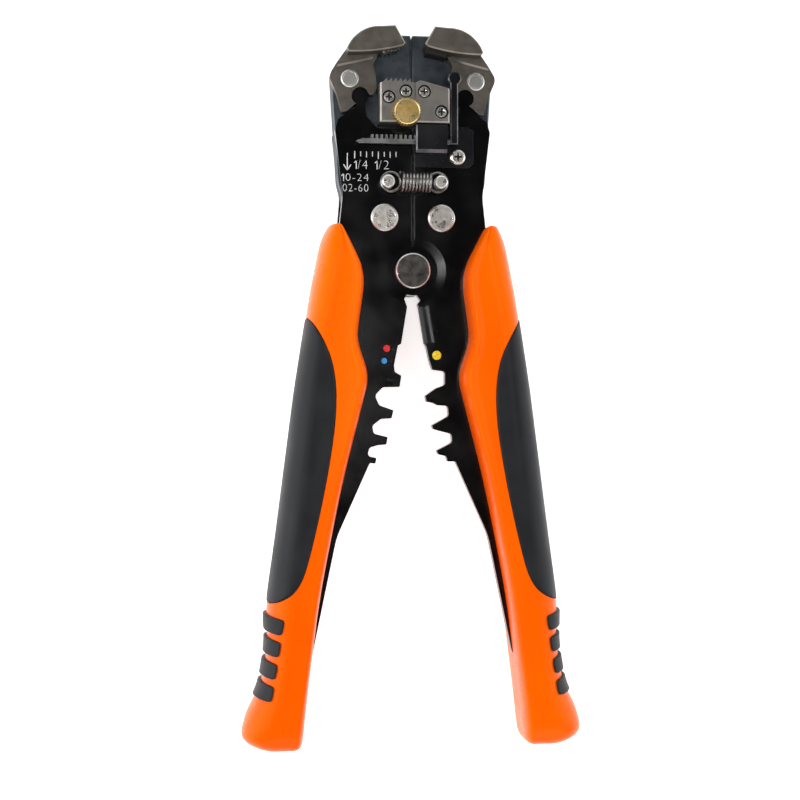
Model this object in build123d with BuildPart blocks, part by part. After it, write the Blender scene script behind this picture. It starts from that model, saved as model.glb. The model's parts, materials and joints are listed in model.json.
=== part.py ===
"""Self-adjusting wire stripper, crimper and cutter of the 8 inch class, made of separate pieces.

The tool lies on its back on Z = 0 with its front face up (+Z), its jaws towards +Y and its handles
towards -Y.  The origin is on the axis of the main pivot rivet, at the rivet's rear face.  All lengths
are in millimetres.  Most pieces come in pairs: their outlines are given for the right-hand side
(X > 0) and carried to either side by the factor LEFT or RIGHT.
"""

import math
import os

from build123d import *

os.makedirs("parts", exist_ok=True)

LEFT, RIGHT = -1, 1
SIDE_NAME = {LEFT: "left", RIGHT: "right"}

# Layers, from the rear face of the tool (Z = 0) to its front.
REAR_PLATE = (1.6, 3.6)
FRAME = (3.9, 9.2)
FRONT_PLATE = (9.5, 12.5)
BLOCK_TOP = 17.0
TIP_TOP = 18.0
GRIP = (0.5, 21.5)
RIDGE = (0.0, 22.0)
LAP_GAP = 0.1  # between the two half-lapped eyes of a layer
RUNNING = 0.04  # radial clearance of a pin in a moving part
HEAD_GAP = 0.05  # under a rivet head that a moving part turns against
DISH_DEPTH, RIM_WIDTH = 0.15, 0.75  # shallow dish in the front head of every rivet
SEATED = 0.01  # radial clearance of a pin in a part it is fixed to

# Main pivot.
PIVOT_R = 3.0
PIVOT_HEAD_R = 5.05
PIVOT_HEAD_H = 1.0
EYE_R = 7.0  # eyes of the front lever plates
REAR_EYE_R = 6.9
FRAME_EYE_R = 6.9
EYE_ROOM = 0.15  # radial room round an eye in the plate it laps
COIN_R, COIN_FLOOR_R, COIN_DEPTH = 9.5, 7.1, 0.35  # shallow coned dish round the main rivet

# Other axes, for the right-hand side.
JAW_PIN_XY = (18.0, 54.05)
JAW_PIN_R, JAW_PIN_HEAD_R, JAW_PIN_HEAD_H = 1.6, 2.6, 0.6
LEVER_RIVET_XY = (8.15, 14.95)
LEVER_RIVET_R, LEVER_RIVET_HEAD_R, LEVER_RIVET_HEAD_H = 2.2, 3.9, 0.8
LOST_MOTION_R = 3.45  # hole in each frame that lets its lever swing a little
TANG_RIVET_XY, TANG_RIVET_R, TANG_COLLAR_R = (21.8, -9.0), 1.5, 2.8
KNUCKLE_XY, KNUCKLE_R, NOTCH_R = (15.0, 49.25), 2.2, 2.5
POST_XY, POST_R, POST_GROOVE_R = (7.5, 24.7), 1.9, 1.3
POST_TOP, POST_GROOVE = 17.2, 1.1
SPRING_Z, SPRING_R, SPRING_WIRE_R, SPRING_TURNS = 15.65, 2.7, 0.38, 9
COIL_FROM, COIL_TO = -3.7, 5.1
HOOK_ROOM = 0.12  # between a hook and the groove of its post
HOOK_LAP = 0.35  # how far a hook's leg runs into the coil

# Cutter: both edges lie on rays at this angle from the seam, so they meet when each lever has turned so far.
CUTTER_ANGLE = 9.2
CUTTER_FROM, CUTTER_TO = 10.4, 21.0
BEVEL_DEPTH, BEVEL_WIDTH = 1.5, 3.2

# Adjusting screw and block screws, at their true places.
KNOB_XY, KNOB_R, KNOB_H, KNOB_GAP = (-2.6, 43.75), 4.0, 3.0, 0.3
KNURLS = 40
BLOCK_SCREWS = {LEFT: [(-7.35, 48.3), (-2.55, 50.0)], RIGHT: [(2.65, 50.0), (7.55, 44.4)]}
COUNTERBORE_R, COUNTERBORE_DEPTH = 1.9, 1.0
SCREW_HEAD_R, SCREW_SHANK_R = 1.5, 0.9
ADJUSTER_SHANK_R = 1.2
SHANK_BOTTOM = FRAME[0] + 0.6  # shanks end inside the frames
RECESS_DEPTH = 0.6  # cross recess of the screws

# Inserts of the upper jaws and the lower blocks, for the right-hand side.
INSERT_TOP = 15.0
INSERT_POCKET = [(1.0, 65.6, 0.0), (9.4, 64.0, 0.0), (9.4, 59.6, 0.0), (1.0, 59.6, 0.0)]
INSERT_BACK = ((3.6, 65.05), (9.35, 63.95))
TOOTH_LINE = ((3.65, 62.25), (8.9, 60.6))  # tips of the upper teeth, from the nose to the heel
UPPER_TEETH, TOOTH_DEPTH, TOOTH_RAKE = 5, 0.95, 0.45
UPPER_BLADE_EDGE = ((3.2, 63.4), (3.5, 61.46), (9.35, 60.2))
BLADE_LAND, BLADE_FALL = 0.5, 2.0
LOWER_TEETH, LOWER_TOOTH_Y, LOWER_GULLET_Y = 6, 53.6, 52.5
LOWER_BLADE = ((0.9, 46.6), (0.9, 52.9), (1.7, 53.6), (9.3, 51.4), (9.3, 46.6))
BLADE_SLOT = (12.0, 13.2)

# Length stop.
STOP_BASE_TOP = 13.3
STOP_SLOT = (13.35, 15.9)
STOP_BAR = (13.4, 15.3)
STOP_ARM_TOP = 16.4
STOP_GUIDE_TOP = 16.6
STOP_SCREW_XY, STOP_SCREW_HEAD_R, STOP_SCREW_HEAD_H, STOP_SCREW_R = (12.6, 32.2), 2.2, 1.5, 1.2
STOP_BAR_Y = (35.45, 36.85, 38.0)  # lower edge, foot of the ribs, top of the ribs
STOP_RIB_PITCH, STOP_RIBS = 1.35, 16

# Handles.
RUBBER_THICK = 2.2
HANDLE_ROUND = 2.0
RIDGES, RIDGE_FIRST_XY, RIDGE_STEP = 4, (42.6, -98.6), (0.95, -6.1)
RIDGE_LENGTH, RIDGE_WIDTH, RIDGE_ROUND, RIDGE_TURN, RIDGE_PROUD = 4.3, 8.7, 0.9, 11.0, 0.4
ZONE_FLOOR, ZONE_HEIGHT = -1.0, 24.0  # the cutting prisms stand through the whole handle


def cutter_point(radius):
    """Point of the right-hand cutter edge at this distance from the pivot."""
    angle = math.radians(CUTTER_ANGLE)
    return radius * math.sin(angle), -radius * math.cos(angle)


# Outlines for the right-hand side: X, Y and corner radius.
FRAME_OUTLINE = [
    (0.2, 67.6, 0.4), (8.5, 67.6, 4.0), (19.5, 61.0, 3.0), (23.3, 56.4, 2.5),
    (21.3, 25.0, 6.0), (17.5, 11.0, 8.0), (9.0, 1.5, 0.0), (0.2, 1.5, 0.0),
]
LEVER_HEAD = [
    (0.25, 40.2, 0.3), (10.2, 40.2, 2.8), (13.35, 43.6, 2.5), (13.75, 47.4, 0.0),
    (16.2, 47.6, 0.0), (16.2, 46.3, 0.4), (21.3, 42.6, 1.2), (22.2, 39.6, 2.0),
    (20.0, 21.0, 12.0), (20.9, 12.6, 6.0), (26.4, -10.0, 20.0), (33.0, -60.0, 60.0),
    (38.5, -112.0, 2.0), (37.0, -117.0, 2.0), (32.8, -117.0, 2.0), (28.6, -108.7, 8.0),
    (21.7, -75.5, 20.0),
]
DIES = {
    LEFT: [
        (12.3, -54.5, 0.6), (10.7, -54.7, 0.3), (10.4, -53.1, 0.3), (13.0, -52.6, 1.0),
        (12.4, -50.2, 1.0), (10.0, -49.5, 1.0), (7.6, -49.3, 0.3), (7.2, -47.2, 0.3),
        (11.2, -46.2, 1.0), (11.6, -44.0, 1.0), (9.2, -42.1, 1.0), (6.1, -41.9, 0.3),
        (5.55, -39.6, 0.4), (9.6, -38.2, 1.4), (10.9, -35.4, 1.4), (8.6, -33.1, 1.2),
        (3.8, -33.0, 0.3), (3.3, -29.8, 0.4), (5.2, -28.7, 0.6), (5.4, -26.9, 2.0),
        (4.3, -21.3, 0.3),
    ],
    RIGHT: [
        (12.2, -54.2, 0.5), (9.9, -54.2, 0.3), (9.6, -52.7, 0.5), (7.3, -52.2, 0.4),
        (6.8, -51.1, 0.3), (11.3, -48.8, 0.8), (11.1, -46.4, 0.8), (8.0, -45.6, 0.8),
        (5.8, -45.0, 0.4), (5.5, -43.9, 0.3), (10.3, -41.2, 0.8), (10.0, -38.4, 0.8),
        (7.0, -38.2, 0.8), (5.6, -37.5, 0.5), (3.9, -37.2, 0.4), (3.6, -35.5, 0.4),
        (6.6, -33.4, 0.3), (9.2, -32.4, 0.6), (9.2, -28.6, 0.8), (5.6, -28.1, 0.5),
        (4.7, -25.3, 4.0), (3.9, -21.6, 0.3),
    ],
}
CUTTER_NOTCH = {
    LEFT: [(1.8, -9.9, 0.2), (2.45, -8.0, 0.3), (1.8, -6.9, 0.0)],
    RIGHT: [(1.3, -9.5, 0.2), (2.2, -8.4, 0.3), (1.15, -6.9, 0.0)],
}
REAR_OUTLINE = [
    (0.3, 41.6, 0.3), (19.6, 41.6, 1.5), (22.4, 39.4, 1.5), (20.2, 21.0, 12.0),
    (20.9, 12.6, 6.0), (26.0, -10.0, 8.0), (26.8, -17.0, 2.0), (19.0, -17.0, 3.0),
    (14.6, -8.0, 5.0), (6.5, -3.6, 0.0), (0.3, -3.6, 0.0),
]
CRANK_OUTLINE = [
    (18.6, 63.0, 1.0), (21.5, 58.9, 4.0), (24.0, 54.8, 3.0), (21.7, 49.6, 4.0),
    (20.4, 44.6, 0.7), (19.0, 44.7, 0.4), (16.9, 46.6, 0.15), (12.3, 49.7, 0.2),
    (11.5, 49.5, 0.4), (10.35, 51.4, 0.6), (10.7, 55.4, 2.5), (11.4, 58.2, 1.2),
    (9.2, 62.5, 0.5),
]
LEDGE_OUTLINE = [(21.9, 57.2, 0.0), (11.7, 59.6, 0.0), (10.0, 62.0, 0.0), (18.6, 62.0, 0.0)]
PAD_OUTLINE = [
    (38.0, -9.0, 0.0), (27.8, -18.5, 8.0), (22.8, -31.5, 14.0), (23.0, -47.0, 60.0),
    (28.9, -76.5, 60.0), (32.6, -88.5, 12.0), (40.0, -93.2, 5.0), (47.0, -94.2, 0.0),
    (60.0, -94.0, 0.0), (60.0, -9.0, 0.0),
]
GRIP_OUTLINE = [
    (22.4, 15.8, 2.4), (26.4, 8.0, 12.0), (29.2, -6.0, 100.0), (33.6, -34.0, 200.0),
    (39.3, -78.0, 200.0), (42.6, -100.0, 200.0), (46.0, -120.0, 60.0), (49.4, -131.6, 3.0),
    (41.0, -136.0, 20.0), (31.6, -134.4, 2.6), (30.0, -118.0, 150.0), (26.6, -91.0, 150.0),
    (20.4, -60.0, 150.0), (12.7, -30.0, 10.0), (16.4, -19.5, 12.0), (13.7, -1.0, 14.0),
]


def outline(side, corners):
    """Closed outline with rounded corners, in the current line builder."""
    points = [(side * x, y) for x, y, _ in corners]
    FilletPolyline(*points, radius=[r for _, _, r in corners], close=True)


def at(side, point):
    """Point of the right-hand side carried to this side."""
    return side * point[0], point[1]


def save(part, name):
    """Label a finished piece and write it."""
    part.label = name
    export_step(part, f"parts/{name}.step")


def lapped(side, layer, gap=LAP_GAP):
    """The share of a layer that this side's eye takes, and the share it leaves to the other."""
    middle = (layer[0] + layer[1]) / 2
    lower = (layer[0], middle - gap / 2)
    upper = (middle + gap / 2, layer[1])
    return (upper, lower) if side == RIGHT else (lower, upper)


def make_frame(side):
    """Head frame: carries its jaw rivet and lower block, and is half-lapped on the main rivet."""
    own, other = lapped(side, FRAME)
    with BuildPart() as frame:
        with BuildSketch(Plane.XY.offset(FRAME[0])):
            with BuildLine():
                outline(side, FRAME_OUTLINE)
            make_face()
        extrude(amount=FRAME[1] - FRAME[0])
        chamfer(frame.faces().sort_by(Axis.Z)[-1].edges(), 0.4)
        with BuildSketch(Plane.XY.offset(other[0] - LAP_GAP)):
            Circle(FRAME_EYE_R + EYE_ROOM)
        extrude(amount=other[1] - other[0] + 2 * LAP_GAP, mode=Mode.SUBTRACT)
        with BuildSketch(Plane.XY.offset(own[0])):
            Circle(FRAME_EYE_R)
        extrude(amount=own[1] - own[0])
        with BuildSketch(Plane.XY.offset(FRAME[0])):
            Circle(PIVOT_R + (SEATED if side == LEFT else RUNNING))
            with Locations(at(side, LEVER_RIVET_XY)):
                Circle(LOST_MOTION_R)
            with Locations(at(side, JAW_PIN_XY)):
                Circle(JAW_PIN_R + SEATED)
            with Locations(*BLOCK_SCREWS[side]):
                Circle(SCREW_SHANK_R + SEATED)
            if side == LEFT:
                with Locations(KNOB_XY):
                    Circle(ADJUSTER_SHANK_R + RUNNING)
        extrude(amount=FRAME[1] - FRAME[0], mode=Mode.SUBTRACT)
    save(frame.part, f"{SIDE_NAME[side]}_frame")


def rivet(name, place, radius, head_radius, rear, front_seat, head_height):
    """Rivet with a head at each end, the front one dished and chamfered; rear is (seat, face)."""
    with BuildPart() as pin:
        with BuildSketch(Plane.XY.offset(rear[1])):
            with Locations(place):
                Circle(head_radius)
        extrude(amount=rear[0] - rear[1])
        with BuildSketch(Plane.XY.offset(front_seat)):
            with Locations(place):
                Circle(head_radius)
        extrude(amount=head_height)
        chamfer(pin.edges().filter_by(GeomType.CIRCLE).sort_by(Axis.Z)[-1], 0.3)
        with BuildSketch(Plane.XY.offset(rear[0])):
            with Locations(place):
                Circle(radius)
        extrude(amount=front_seat - rear[0])
        with BuildSketch(Plane.XY.offset(front_seat + head_height - DISH_DEPTH)):
            with Locations(place):
                Circle(head_radius - RIM_WIDTH)
        extrude(amount=DISH_DEPTH, mode=Mode.SUBTRACT)
    save(pin.part, name)


def make_front_plate(side):
    """Front lever plate: knuckle, neck, cutter edge, crimp dies and the tang inside the grip."""
    own, other = lapped(side, FRONT_PLATE)
    angle = math.radians(CUTTER_ANGLE)
    cutter = [(*cutter_point(CUTTER_TO), 0.0), (*cutter_point(CUTTER_FROM), 0.0)]
    inner_edge = DIES[side] + cutter + CUTTER_NOTCH[side] + [(0.25, -6.6, 0.0)]
    thickness = FRONT_PLATE[1] - FRONT_PLATE[0]
    with BuildPart() as plate:
        with BuildSketch(Plane.XY.offset(FRONT_PLATE[0])):
            with BuildLine():
                outline(side, LEVER_HEAD + inner_edge)
            make_face()
            with Locations(at(side, KNUCKLE_XY)):
                Circle(KNUCKLE_R)
        extrude(amount=thickness)
        along = Vector(side * math.sin(angle), -math.cos(angle), 0)
        inward = Vector(side * math.cos(angle), math.sin(angle), 0)
        face, beyond = (FRONT_PLATE[1], 1.0) if side == RIGHT else (FRONT_PLATE[0], -1.0)
        edge_z = face - beyond * BEVEL_DEPTH
        with BuildSketch(Plane(origin=along * CUTTER_FROM, x_dir=inward, z_dir=along)):
            with BuildLine():
                Polyline(
                    (-1, side * edge_z), (0, side * edge_z), (BEVEL_WIDTH, side * face),
                    (BEVEL_WIDTH, side * (face + beyond)), (-1, side * (face + beyond)), close=True,
                )
            make_face()
        extrude(amount=CUTTER_TO - CUTTER_FROM, mode=Mode.SUBTRACT)
        with BuildSketch(Plane.XY.offset(other[0] - LAP_GAP)):
            Circle(EYE_R + EYE_ROOM)
        extrude(amount=other[1] - other[0] + 2 * LAP_GAP, mode=Mode.SUBTRACT)
        with BuildSketch(Plane.XY.offset(own[0])):
            Circle(EYE_R)
        extrude(amount=own[1] - own[0])
        with Locations((0, 0, FRONT_PLATE[1] - COIN_DEPTH)):
            Cone(
                COIN_FLOOR_R, 2 * COIN_R - COIN_FLOOR_R, 2 * COIN_DEPTH,
                align=(Align.CENTER, Align.CENTER, Align.MIN), mode=Mode.SUBTRACT,
            )
        with BuildSketch(Plane.XY.offset(FRONT_PLATE[0])):
            Circle(PIVOT_R + RUNNING)
            with Locations(at(side, LEVER_RIVET_XY)):
                Circle(LEVER_RIVET_R + SEATED)
            with Locations(at(side, POST_XY)):
                Circle(POST_GROOVE_R + SEATED)
            with Locations(at(side, TANG_RIVET_XY)):
                Circle(TANG_RIVET_R + SEATED)
            if side == RIGHT:
                with Locations(STOP_SCREW_XY):
                    Circle(STOP_SCREW_R + SEATED)
        extrude(amount=thickness, mode=Mode.SUBTRACT)
    save(plate.part, f"{SIDE_NAME[side]}_lever_front_plate")
    return plate.part


def make_rear_plate(side):
    """Rear lever plate: lies behind the frame and ends inside the grip."""
    own, other = lapped(side, REAR_PLATE)
    thickness = REAR_PLATE[1] - REAR_PLATE[0]
    with BuildPart() as plate:
        with BuildSketch(Plane.XY.offset(REAR_PLATE[0])):
            with BuildLine():
                outline(side, REAR_OUTLINE)
            make_face()
        extrude(amount=thickness)
        with BuildSketch(Plane.XY.offset(other[0] - LAP_GAP)):
            Circle(REAR_EYE_R + EYE_ROOM)
        extrude(amount=other[1] - other[0] + 2 * LAP_GAP, mode=Mode.SUBTRACT)
        with BuildSketch(Plane.XY.offset(own[0])):
            Circle(REAR_EYE_R)
        extrude(amount=own[1] - own[0])
        with BuildSketch(Plane.XY.offset(REAR_PLATE[0])):
            Circle(PIVOT_R + RUNNING)
            with Locations(at(side, LEVER_RIVET_XY)):
                Circle(LEVER_RIVET_R + SEATED)
            with Locations(at(side, TANG_RIVET_XY)):
                Circle(TANG_RIVET_R + SEATED)
        extrude(amount=thickness, mode=Mode.SUBTRACT)
    save(plate.part, f"{SIDE_NAME[side]}_lever_rear_plate")
    return plate.part


def make_upper_jaw(side):
    """Upper jaw: flat bell crank with an open notch, and a raised block at its tip."""
    with BuildPart() as jaw:
        with BuildSketch(Plane.XY.offset(FRONT_PLATE[0])):
            with BuildLine():
                outline(side, CRANK_OUTLINE)
            make_face()
        extrude(amount=FRONT_PLATE[1] - FRONT_PLATE[0])
        with BuildSketch(Plane.XY.offset(FRONT_PLATE[0])):
            with BuildLine():
                outline(side, LEDGE_OUTLINE)
            make_face()
        extrude(amount=FRONT_PLATE[1] + 0.8 - FRONT_PLATE[0])
        chamfer(jaw.faces().sort_by(Axis.Z)[-1].edges().sort_by(SortBy.LENGTH)[-1], 0.5)
        with BuildSketch(Plane.XY.offset(FRONT_PLATE[0])):
            with BuildLine():
                tip_top = Line(at(side, (5.6, 68.3)), at(side, (9.4, 68.0)))
                crown = ThreePointArc(tip_top @ 1, at(side, (15.6, 66.2)), at(side, (19.4, 61.2)))
                heel = Line(crown @ 1, at(side, (18.8, 60.5)))
                under = ThreePointArc(heel @ 1, at(side, (10.8, 61.0)), at(side, (3.6, 62.5)))
                nose = Line(under @ 1, at(side, (2.75, 63.3)))
                Line(nose @ 1, tip_top @ 0)
            make_face()
        extrude(amount=TIP_TOP - FRONT_PLATE[0])
        chamfer(jaw.faces().sort_by(Axis.Z)[-1].edges(), 0.35)
        with BuildSketch(Plane.XY.offset(FRONT_PLATE[0])):
            with Locations(at(side, JAW_PIN_XY)):
                Circle(JAW_PIN_R + RUNNING)
            with Locations(at(side, KNUCKLE_XY)):
                Circle(NOTCH_R)
        extrude(amount=10, mode=Mode.SUBTRACT)
        with BuildSketch(Plane.XY.offset(FRONT_PLATE[0])):
            with BuildLine():
                outline(side, INSERT_POCKET)
            make_face()
        extrude(amount=INSERT_TOP - FRONT_PLATE[0], mode=Mode.SUBTRACT)
    save(jaw.part, f"{SIDE_NAME[side]}_upper_jaw")


def make_grip_insert():
    """Toothed insert under the tip of the left upper jaw: saw teeth along a sloping line."""
    (x0, y0), (x1, y1) = TOOTH_LINE
    step = ((x1 - x0) / UPPER_TEETH, (y1 - y0) / UPPER_TEETH)
    teeth = []
    for i in range(UPPER_TEETH):
        teeth.append((x0 + step[0] * i, y0 + step[1] * i + TOOTH_DEPTH))
        teeth.append((x0 + step[0] * (i + TOOTH_RAKE), y0 + step[1] * (i + TOOTH_RAKE)))
    points = [INSERT_BACK[0], *teeth, (INSERT_BACK[1][0], y1 + TOOTH_DEPTH), INSERT_BACK[1]]
    with BuildPart() as insert:
        with BuildSketch(Plane.XY.offset(FRONT_PLATE[0])):
            with BuildLine():
                Polyline(*[at(LEFT, p) for p in points], close=True)
            make_face()
        extrude(amount=INSERT_TOP - FRONT_PLATE[0])
    save(insert.part, "grip_insert")


def make_blades():
    """The two stripping blades: one under the right upper jaw, one on the right lower block."""
    with BuildPart() as upper:
        with BuildSketch(Plane.XY.offset(FRONT_PLATE[0])):
            with BuildLine():
                Polyline(INSERT_BACK[0], *UPPER_BLADE_EDGE, INSERT_BACK[1], close=True)
            make_face()
        extrude(amount=INSERT_TOP - FRONT_PLATE[0])
        edge = upper.faces().sort_by(Axis.Z)[-1].edges().sort_by(Axis.Y)[0]
        chamfer(edge, length=BLADE_LAND, length2=BLADE_FALL)
    save(upper.part, "upper_stripping_blade")
    with BuildPart() as lower:
        with BuildSketch(Plane.XY.offset(BLADE_SLOT[0])):
            with BuildLine():
                Polyline(*LOWER_BLADE, close=True)
            make_face()
            with Locations(BLOCK_SCREWS[RIGHT][0]):
                Circle(SCREW_SHANK_R + SEATED, mode=Mode.SUBTRACT)
        extrude(amount=BLADE_SLOT[1] - BLADE_SLOT[0])
    save(lower.part, "lower_stripping_blade")


def make_lower_block(side):
    """Lower jaw block on its frame, with counterbored screws; the left one has six saw teeth."""
    if side == LEFT:
        pitch = 8.0 / LOWER_TEETH
        profile = [(0.1, 41.3), (0.1, 52.4), (1.0, LOWER_GULLET_Y)]
        for i in range(LOWER_TEETH):
            profile += [(1.25 + pitch * i, LOWER_TOOTH_Y), (1.0 + pitch * (i + 1), LOWER_GULLET_Y)]
        profile += [(9.9, 52.3), (9.9, 41.3)]
    else:
        profile = [(0.1, 41.3), (0.1, 52.4), (1.6, 53.1), (9.95, 51.0), (9.95, 41.3)]
    with BuildPart() as block:
        with BuildSketch(Plane.XY.offset(FRAME[1])):
            with BuildLine():
                Polyline(*[at(side, p) for p in profile], close=True)
            make_face()
        extrude(amount=BLOCK_TOP - FRAME[1])
        top_edges = block.faces().sort_by(Axis.Z)[-1].edges()
        chamfer(top_edges.sort_by(Axis.Y)[0], 0.45)
        outer_edges = block.edges().filter_by(Plane.XY).group_by(Axis.Z)[-1].filter_by(Axis.Y)
        chamfer(outer_edges.sort_by(Axis.X)[0 if side == LEFT else -1], 0.45)
        with Locations(*[(x, y, BLOCK_TOP) for x, y in BLOCK_SCREWS[side]]):
            CounterBoreHole(SCREW_SHANK_R + SEATED, COUNTERBORE_R, COUNTERBORE_DEPTH)
        if side == LEFT:
            with Locations((*KNOB_XY, BLOCK_TOP)):
                Hole(ADJUSTER_SHANK_R + RUNNING)
        else:
            with BuildSketch(Plane.XY.offset(BLADE_SLOT[0])):
                with BuildLine():
                    Polyline((0.9, 46.6), (0.9, 56.0), (9.3, 56.0), (9.3, 46.6), close=True)
                make_face()
            extrude(amount=BLADE_SLOT[1] - BLADE_SLOT[0], mode=Mode.SUBTRACT)
    save(block.part, f"{SIDE_NAME[side]}_lower_jaw")


def make_block_screws(side):
    """The two cross-head screws that hold a lower block."""
    seat = BLOCK_TOP - COUNTERBORE_DEPTH
    with BuildPart() as screws:
        with BuildSketch(Plane.XY.offset(seat)):
            with Locations(*BLOCK_SCREWS[side]):
                Circle(SCREW_HEAD_R)
        extrude(amount=COUNTERBORE_DEPTH - 0.15)
        chamfer(screws.faces().group_by(Axis.Z)[-1].edges(), 0.2)
        with BuildSketch(Plane.XY.offset(SHANK_BOTTOM)):
            with Locations(*BLOCK_SCREWS[side]):
                Circle(SCREW_SHANK_R)
        extrude(amount=seat - SHANK_BOTTOM)
        with BuildSketch(Plane.XY.offset(BLOCK_TOP - RECESS_DEPTH)):
            with Locations(*BLOCK_SCREWS[side]):
                Rectangle(SCREW_HEAD_R * 1.3, SCREW_HEAD_R * 0.32)
                Rectangle(SCREW_HEAD_R * 0.32, SCREW_HEAD_R * 1.3)
        extrude(amount=RECESS_DEPTH, mode=Mode.SUBTRACT)
    save(screws.part, f"{SIDE_NAME[side]}_block_screws")


def make_adjusting_screw():
    """Brass adjusting screw with a knurled head."""
    seat = BLOCK_TOP + KNOB_GAP
    with BuildPart() as screw:
        with BuildSketch(Plane.XY.offset(seat)):
            with Locations(KNOB_XY):
                Circle(KNOB_R)
                with PolarLocations(KNOB_R, KNURLS):
                    Circle(0.16, mode=Mode.SUBTRACT)
        extrude(amount=KNOB_H)
        with BuildSketch(Plane.XY.offset(SHANK_BOTTOM)):
            with Locations(KNOB_XY):
                Circle(ADJUSTER_SHANK_R)
        extrude(amount=seat - SHANK_BOTTOM)
    save(screw.part, "adjusting_screw")


def make_lever_rivets(side):
    """Through rivet, shouldered tang rivet and spring post of one lever."""
    name = SIDE_NAME[side]
    rivet(
        f"{name}_lever_rivet", at(side, LEVER_RIVET_XY), LEVER_RIVET_R, LEVER_RIVET_HEAD_R,
        (REAR_PLATE[0], 0.0), FRONT_PLATE[1], LEVER_RIVET_HEAD_H,
    )
    with BuildPart() as tang:
        with BuildSketch(Plane.XY.offset(REAR_PLATE[0])):
            with Locations(at(side, TANG_RIVET_XY)):
                Circle(TANG_RIVET_R)
        extrude(amount=FRONT_PLATE[1] - REAR_PLATE[0])
        with BuildSketch(Plane.XY.offset(REAR_PLATE[1])):
            with Locations(at(side, TANG_RIVET_XY)):
                Circle(TANG_COLLAR_R)
        extrude(amount=FRONT_PLATE[0] - REAR_PLATE[1])
    save(tang.part, f"{name}_tang_rivet")
    with BuildPart() as post:
        with BuildSketch(Plane.XY.offset(FRONT_PLATE[0])):
            with Locations(at(side, POST_XY)):
                Circle(POST_GROOVE_R)
        extrude(amount=POST_TOP - FRONT_PLATE[0])
        with BuildSketch(Plane.XY.offset(FRONT_PLATE[1])):
            with Locations(at(side, POST_XY)):
                Circle(POST_R)
        extrude(amount=SPRING_Z - POST_GROOVE / 2 - FRONT_PLATE[1])
        with BuildSketch(Plane.XY.offset(SPRING_Z + POST_GROOVE / 2)):
            with Locations(at(side, POST_XY)):
                Circle(POST_R)
        extrude(amount=POST_TOP - SPRING_Z - POST_GROOVE / 2)
        chamfer(post.edges().filter_by(GeomType.CIRCLE).sort_by(Axis.Z)[-1], 0.3)
    save(post.part, f"{name}_spring_post")
    return tang.part


def make_return_spring():
    """Extension spring: a close coil along X with a hook round each spring post."""
    loop_r = POST_GROOVE_R + SPRING_WIRE_R + HOOK_ROOM
    centre = (COIL_FROM, POST_XY[1], SPRING_Z)
    with BuildPart() as coil:
        with BuildLine() as turns:
            Helix(
                pitch=(COIL_TO - COIL_FROM) / SPRING_TURNS, height=COIL_TO - COIL_FROM,
                radius=SPRING_R, center=centre, direction=(1, 0, 0),
            )
        with BuildSketch(Plane(origin=turns.line @ 0, z_dir=turns.line % 0)):
            Circle(SPRING_WIRE_R)
        sweep(is_frenet=True)
    hooks = []
    for end_x, post_x in ((COIL_FROM, -POST_XY[0]), (COIL_TO, POST_XY[0])):
        out = math.copysign(1, post_x)
        reach = math.hypot(end_x - post_x, SPRING_R)
        touch = math.atan2(SPRING_R, end_x - post_x) - out * math.acos(loop_r / reach)
        touch_x, touch_y = post_x + loop_r * math.cos(touch), POST_XY[1] + loop_r * math.sin(touch)
        with BuildPart() as hook:
            with BuildLine(Plane.XY.offset(SPRING_Z)) as path:
                leg = Line((end_x - out * HOOK_LAP, POST_XY[1] + SPRING_R), (touch_x, touch_y))
                CenterArc((post_x, POST_XY[1]), loop_r, math.degrees(touch), -200 * out)
            with BuildSketch(Plane(origin=leg @ 0, z_dir=leg % 0)):
                Circle(SPRING_WIRE_R)
            sweep(path=path.wires()[0])
        hooks.append(hook.part)
    with BuildPart() as whole:
        add(coil.part)
        for hook_part in hooks:
            add(hook_part)
    save(whole.part, "return_spring")


def make_length_stop():
    """Sliding length stop: ribbed bar with a pointed end, and an arm with a round head."""
    low, foot, top = STOP_BAR_Y
    with BuildPart() as stop:
        with BuildSketch(Plane.XY.offset(STOP_BAR[0])):
            with BuildLine():
                Polyline((-16.6, 36.1), (-14.6, foot), (12.3, foot), (12.3, low), (-15.6, low), close=True)
            make_face()
            for i in range(STOP_RIBS):
                with Locations((-11.9 + STOP_RIB_PITCH * i, (foot + top) / 2)):
                    Rectangle(0.7, top - foot)
        extrude(amount=STOP_BAR[1] - STOP_BAR[0])
        with BuildSketch(Plane.XY.offset(STOP_BAR[0])):
            with BuildLine():
                Polyline((10.15, low), (10.15, 53.0), (12.35, 53.0), (12.35, low), close=True)
            make_face()
            with Locations((11.4, 54.1)):
                Circle(1.9)
        extrude(amount=STOP_ARM_TOP - STOP_BAR[0])
        chamfer(stop.faces().sort_by(Axis.Z)[-1].edges(), 0.3)
    save(stop.part, "length_stop")


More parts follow.
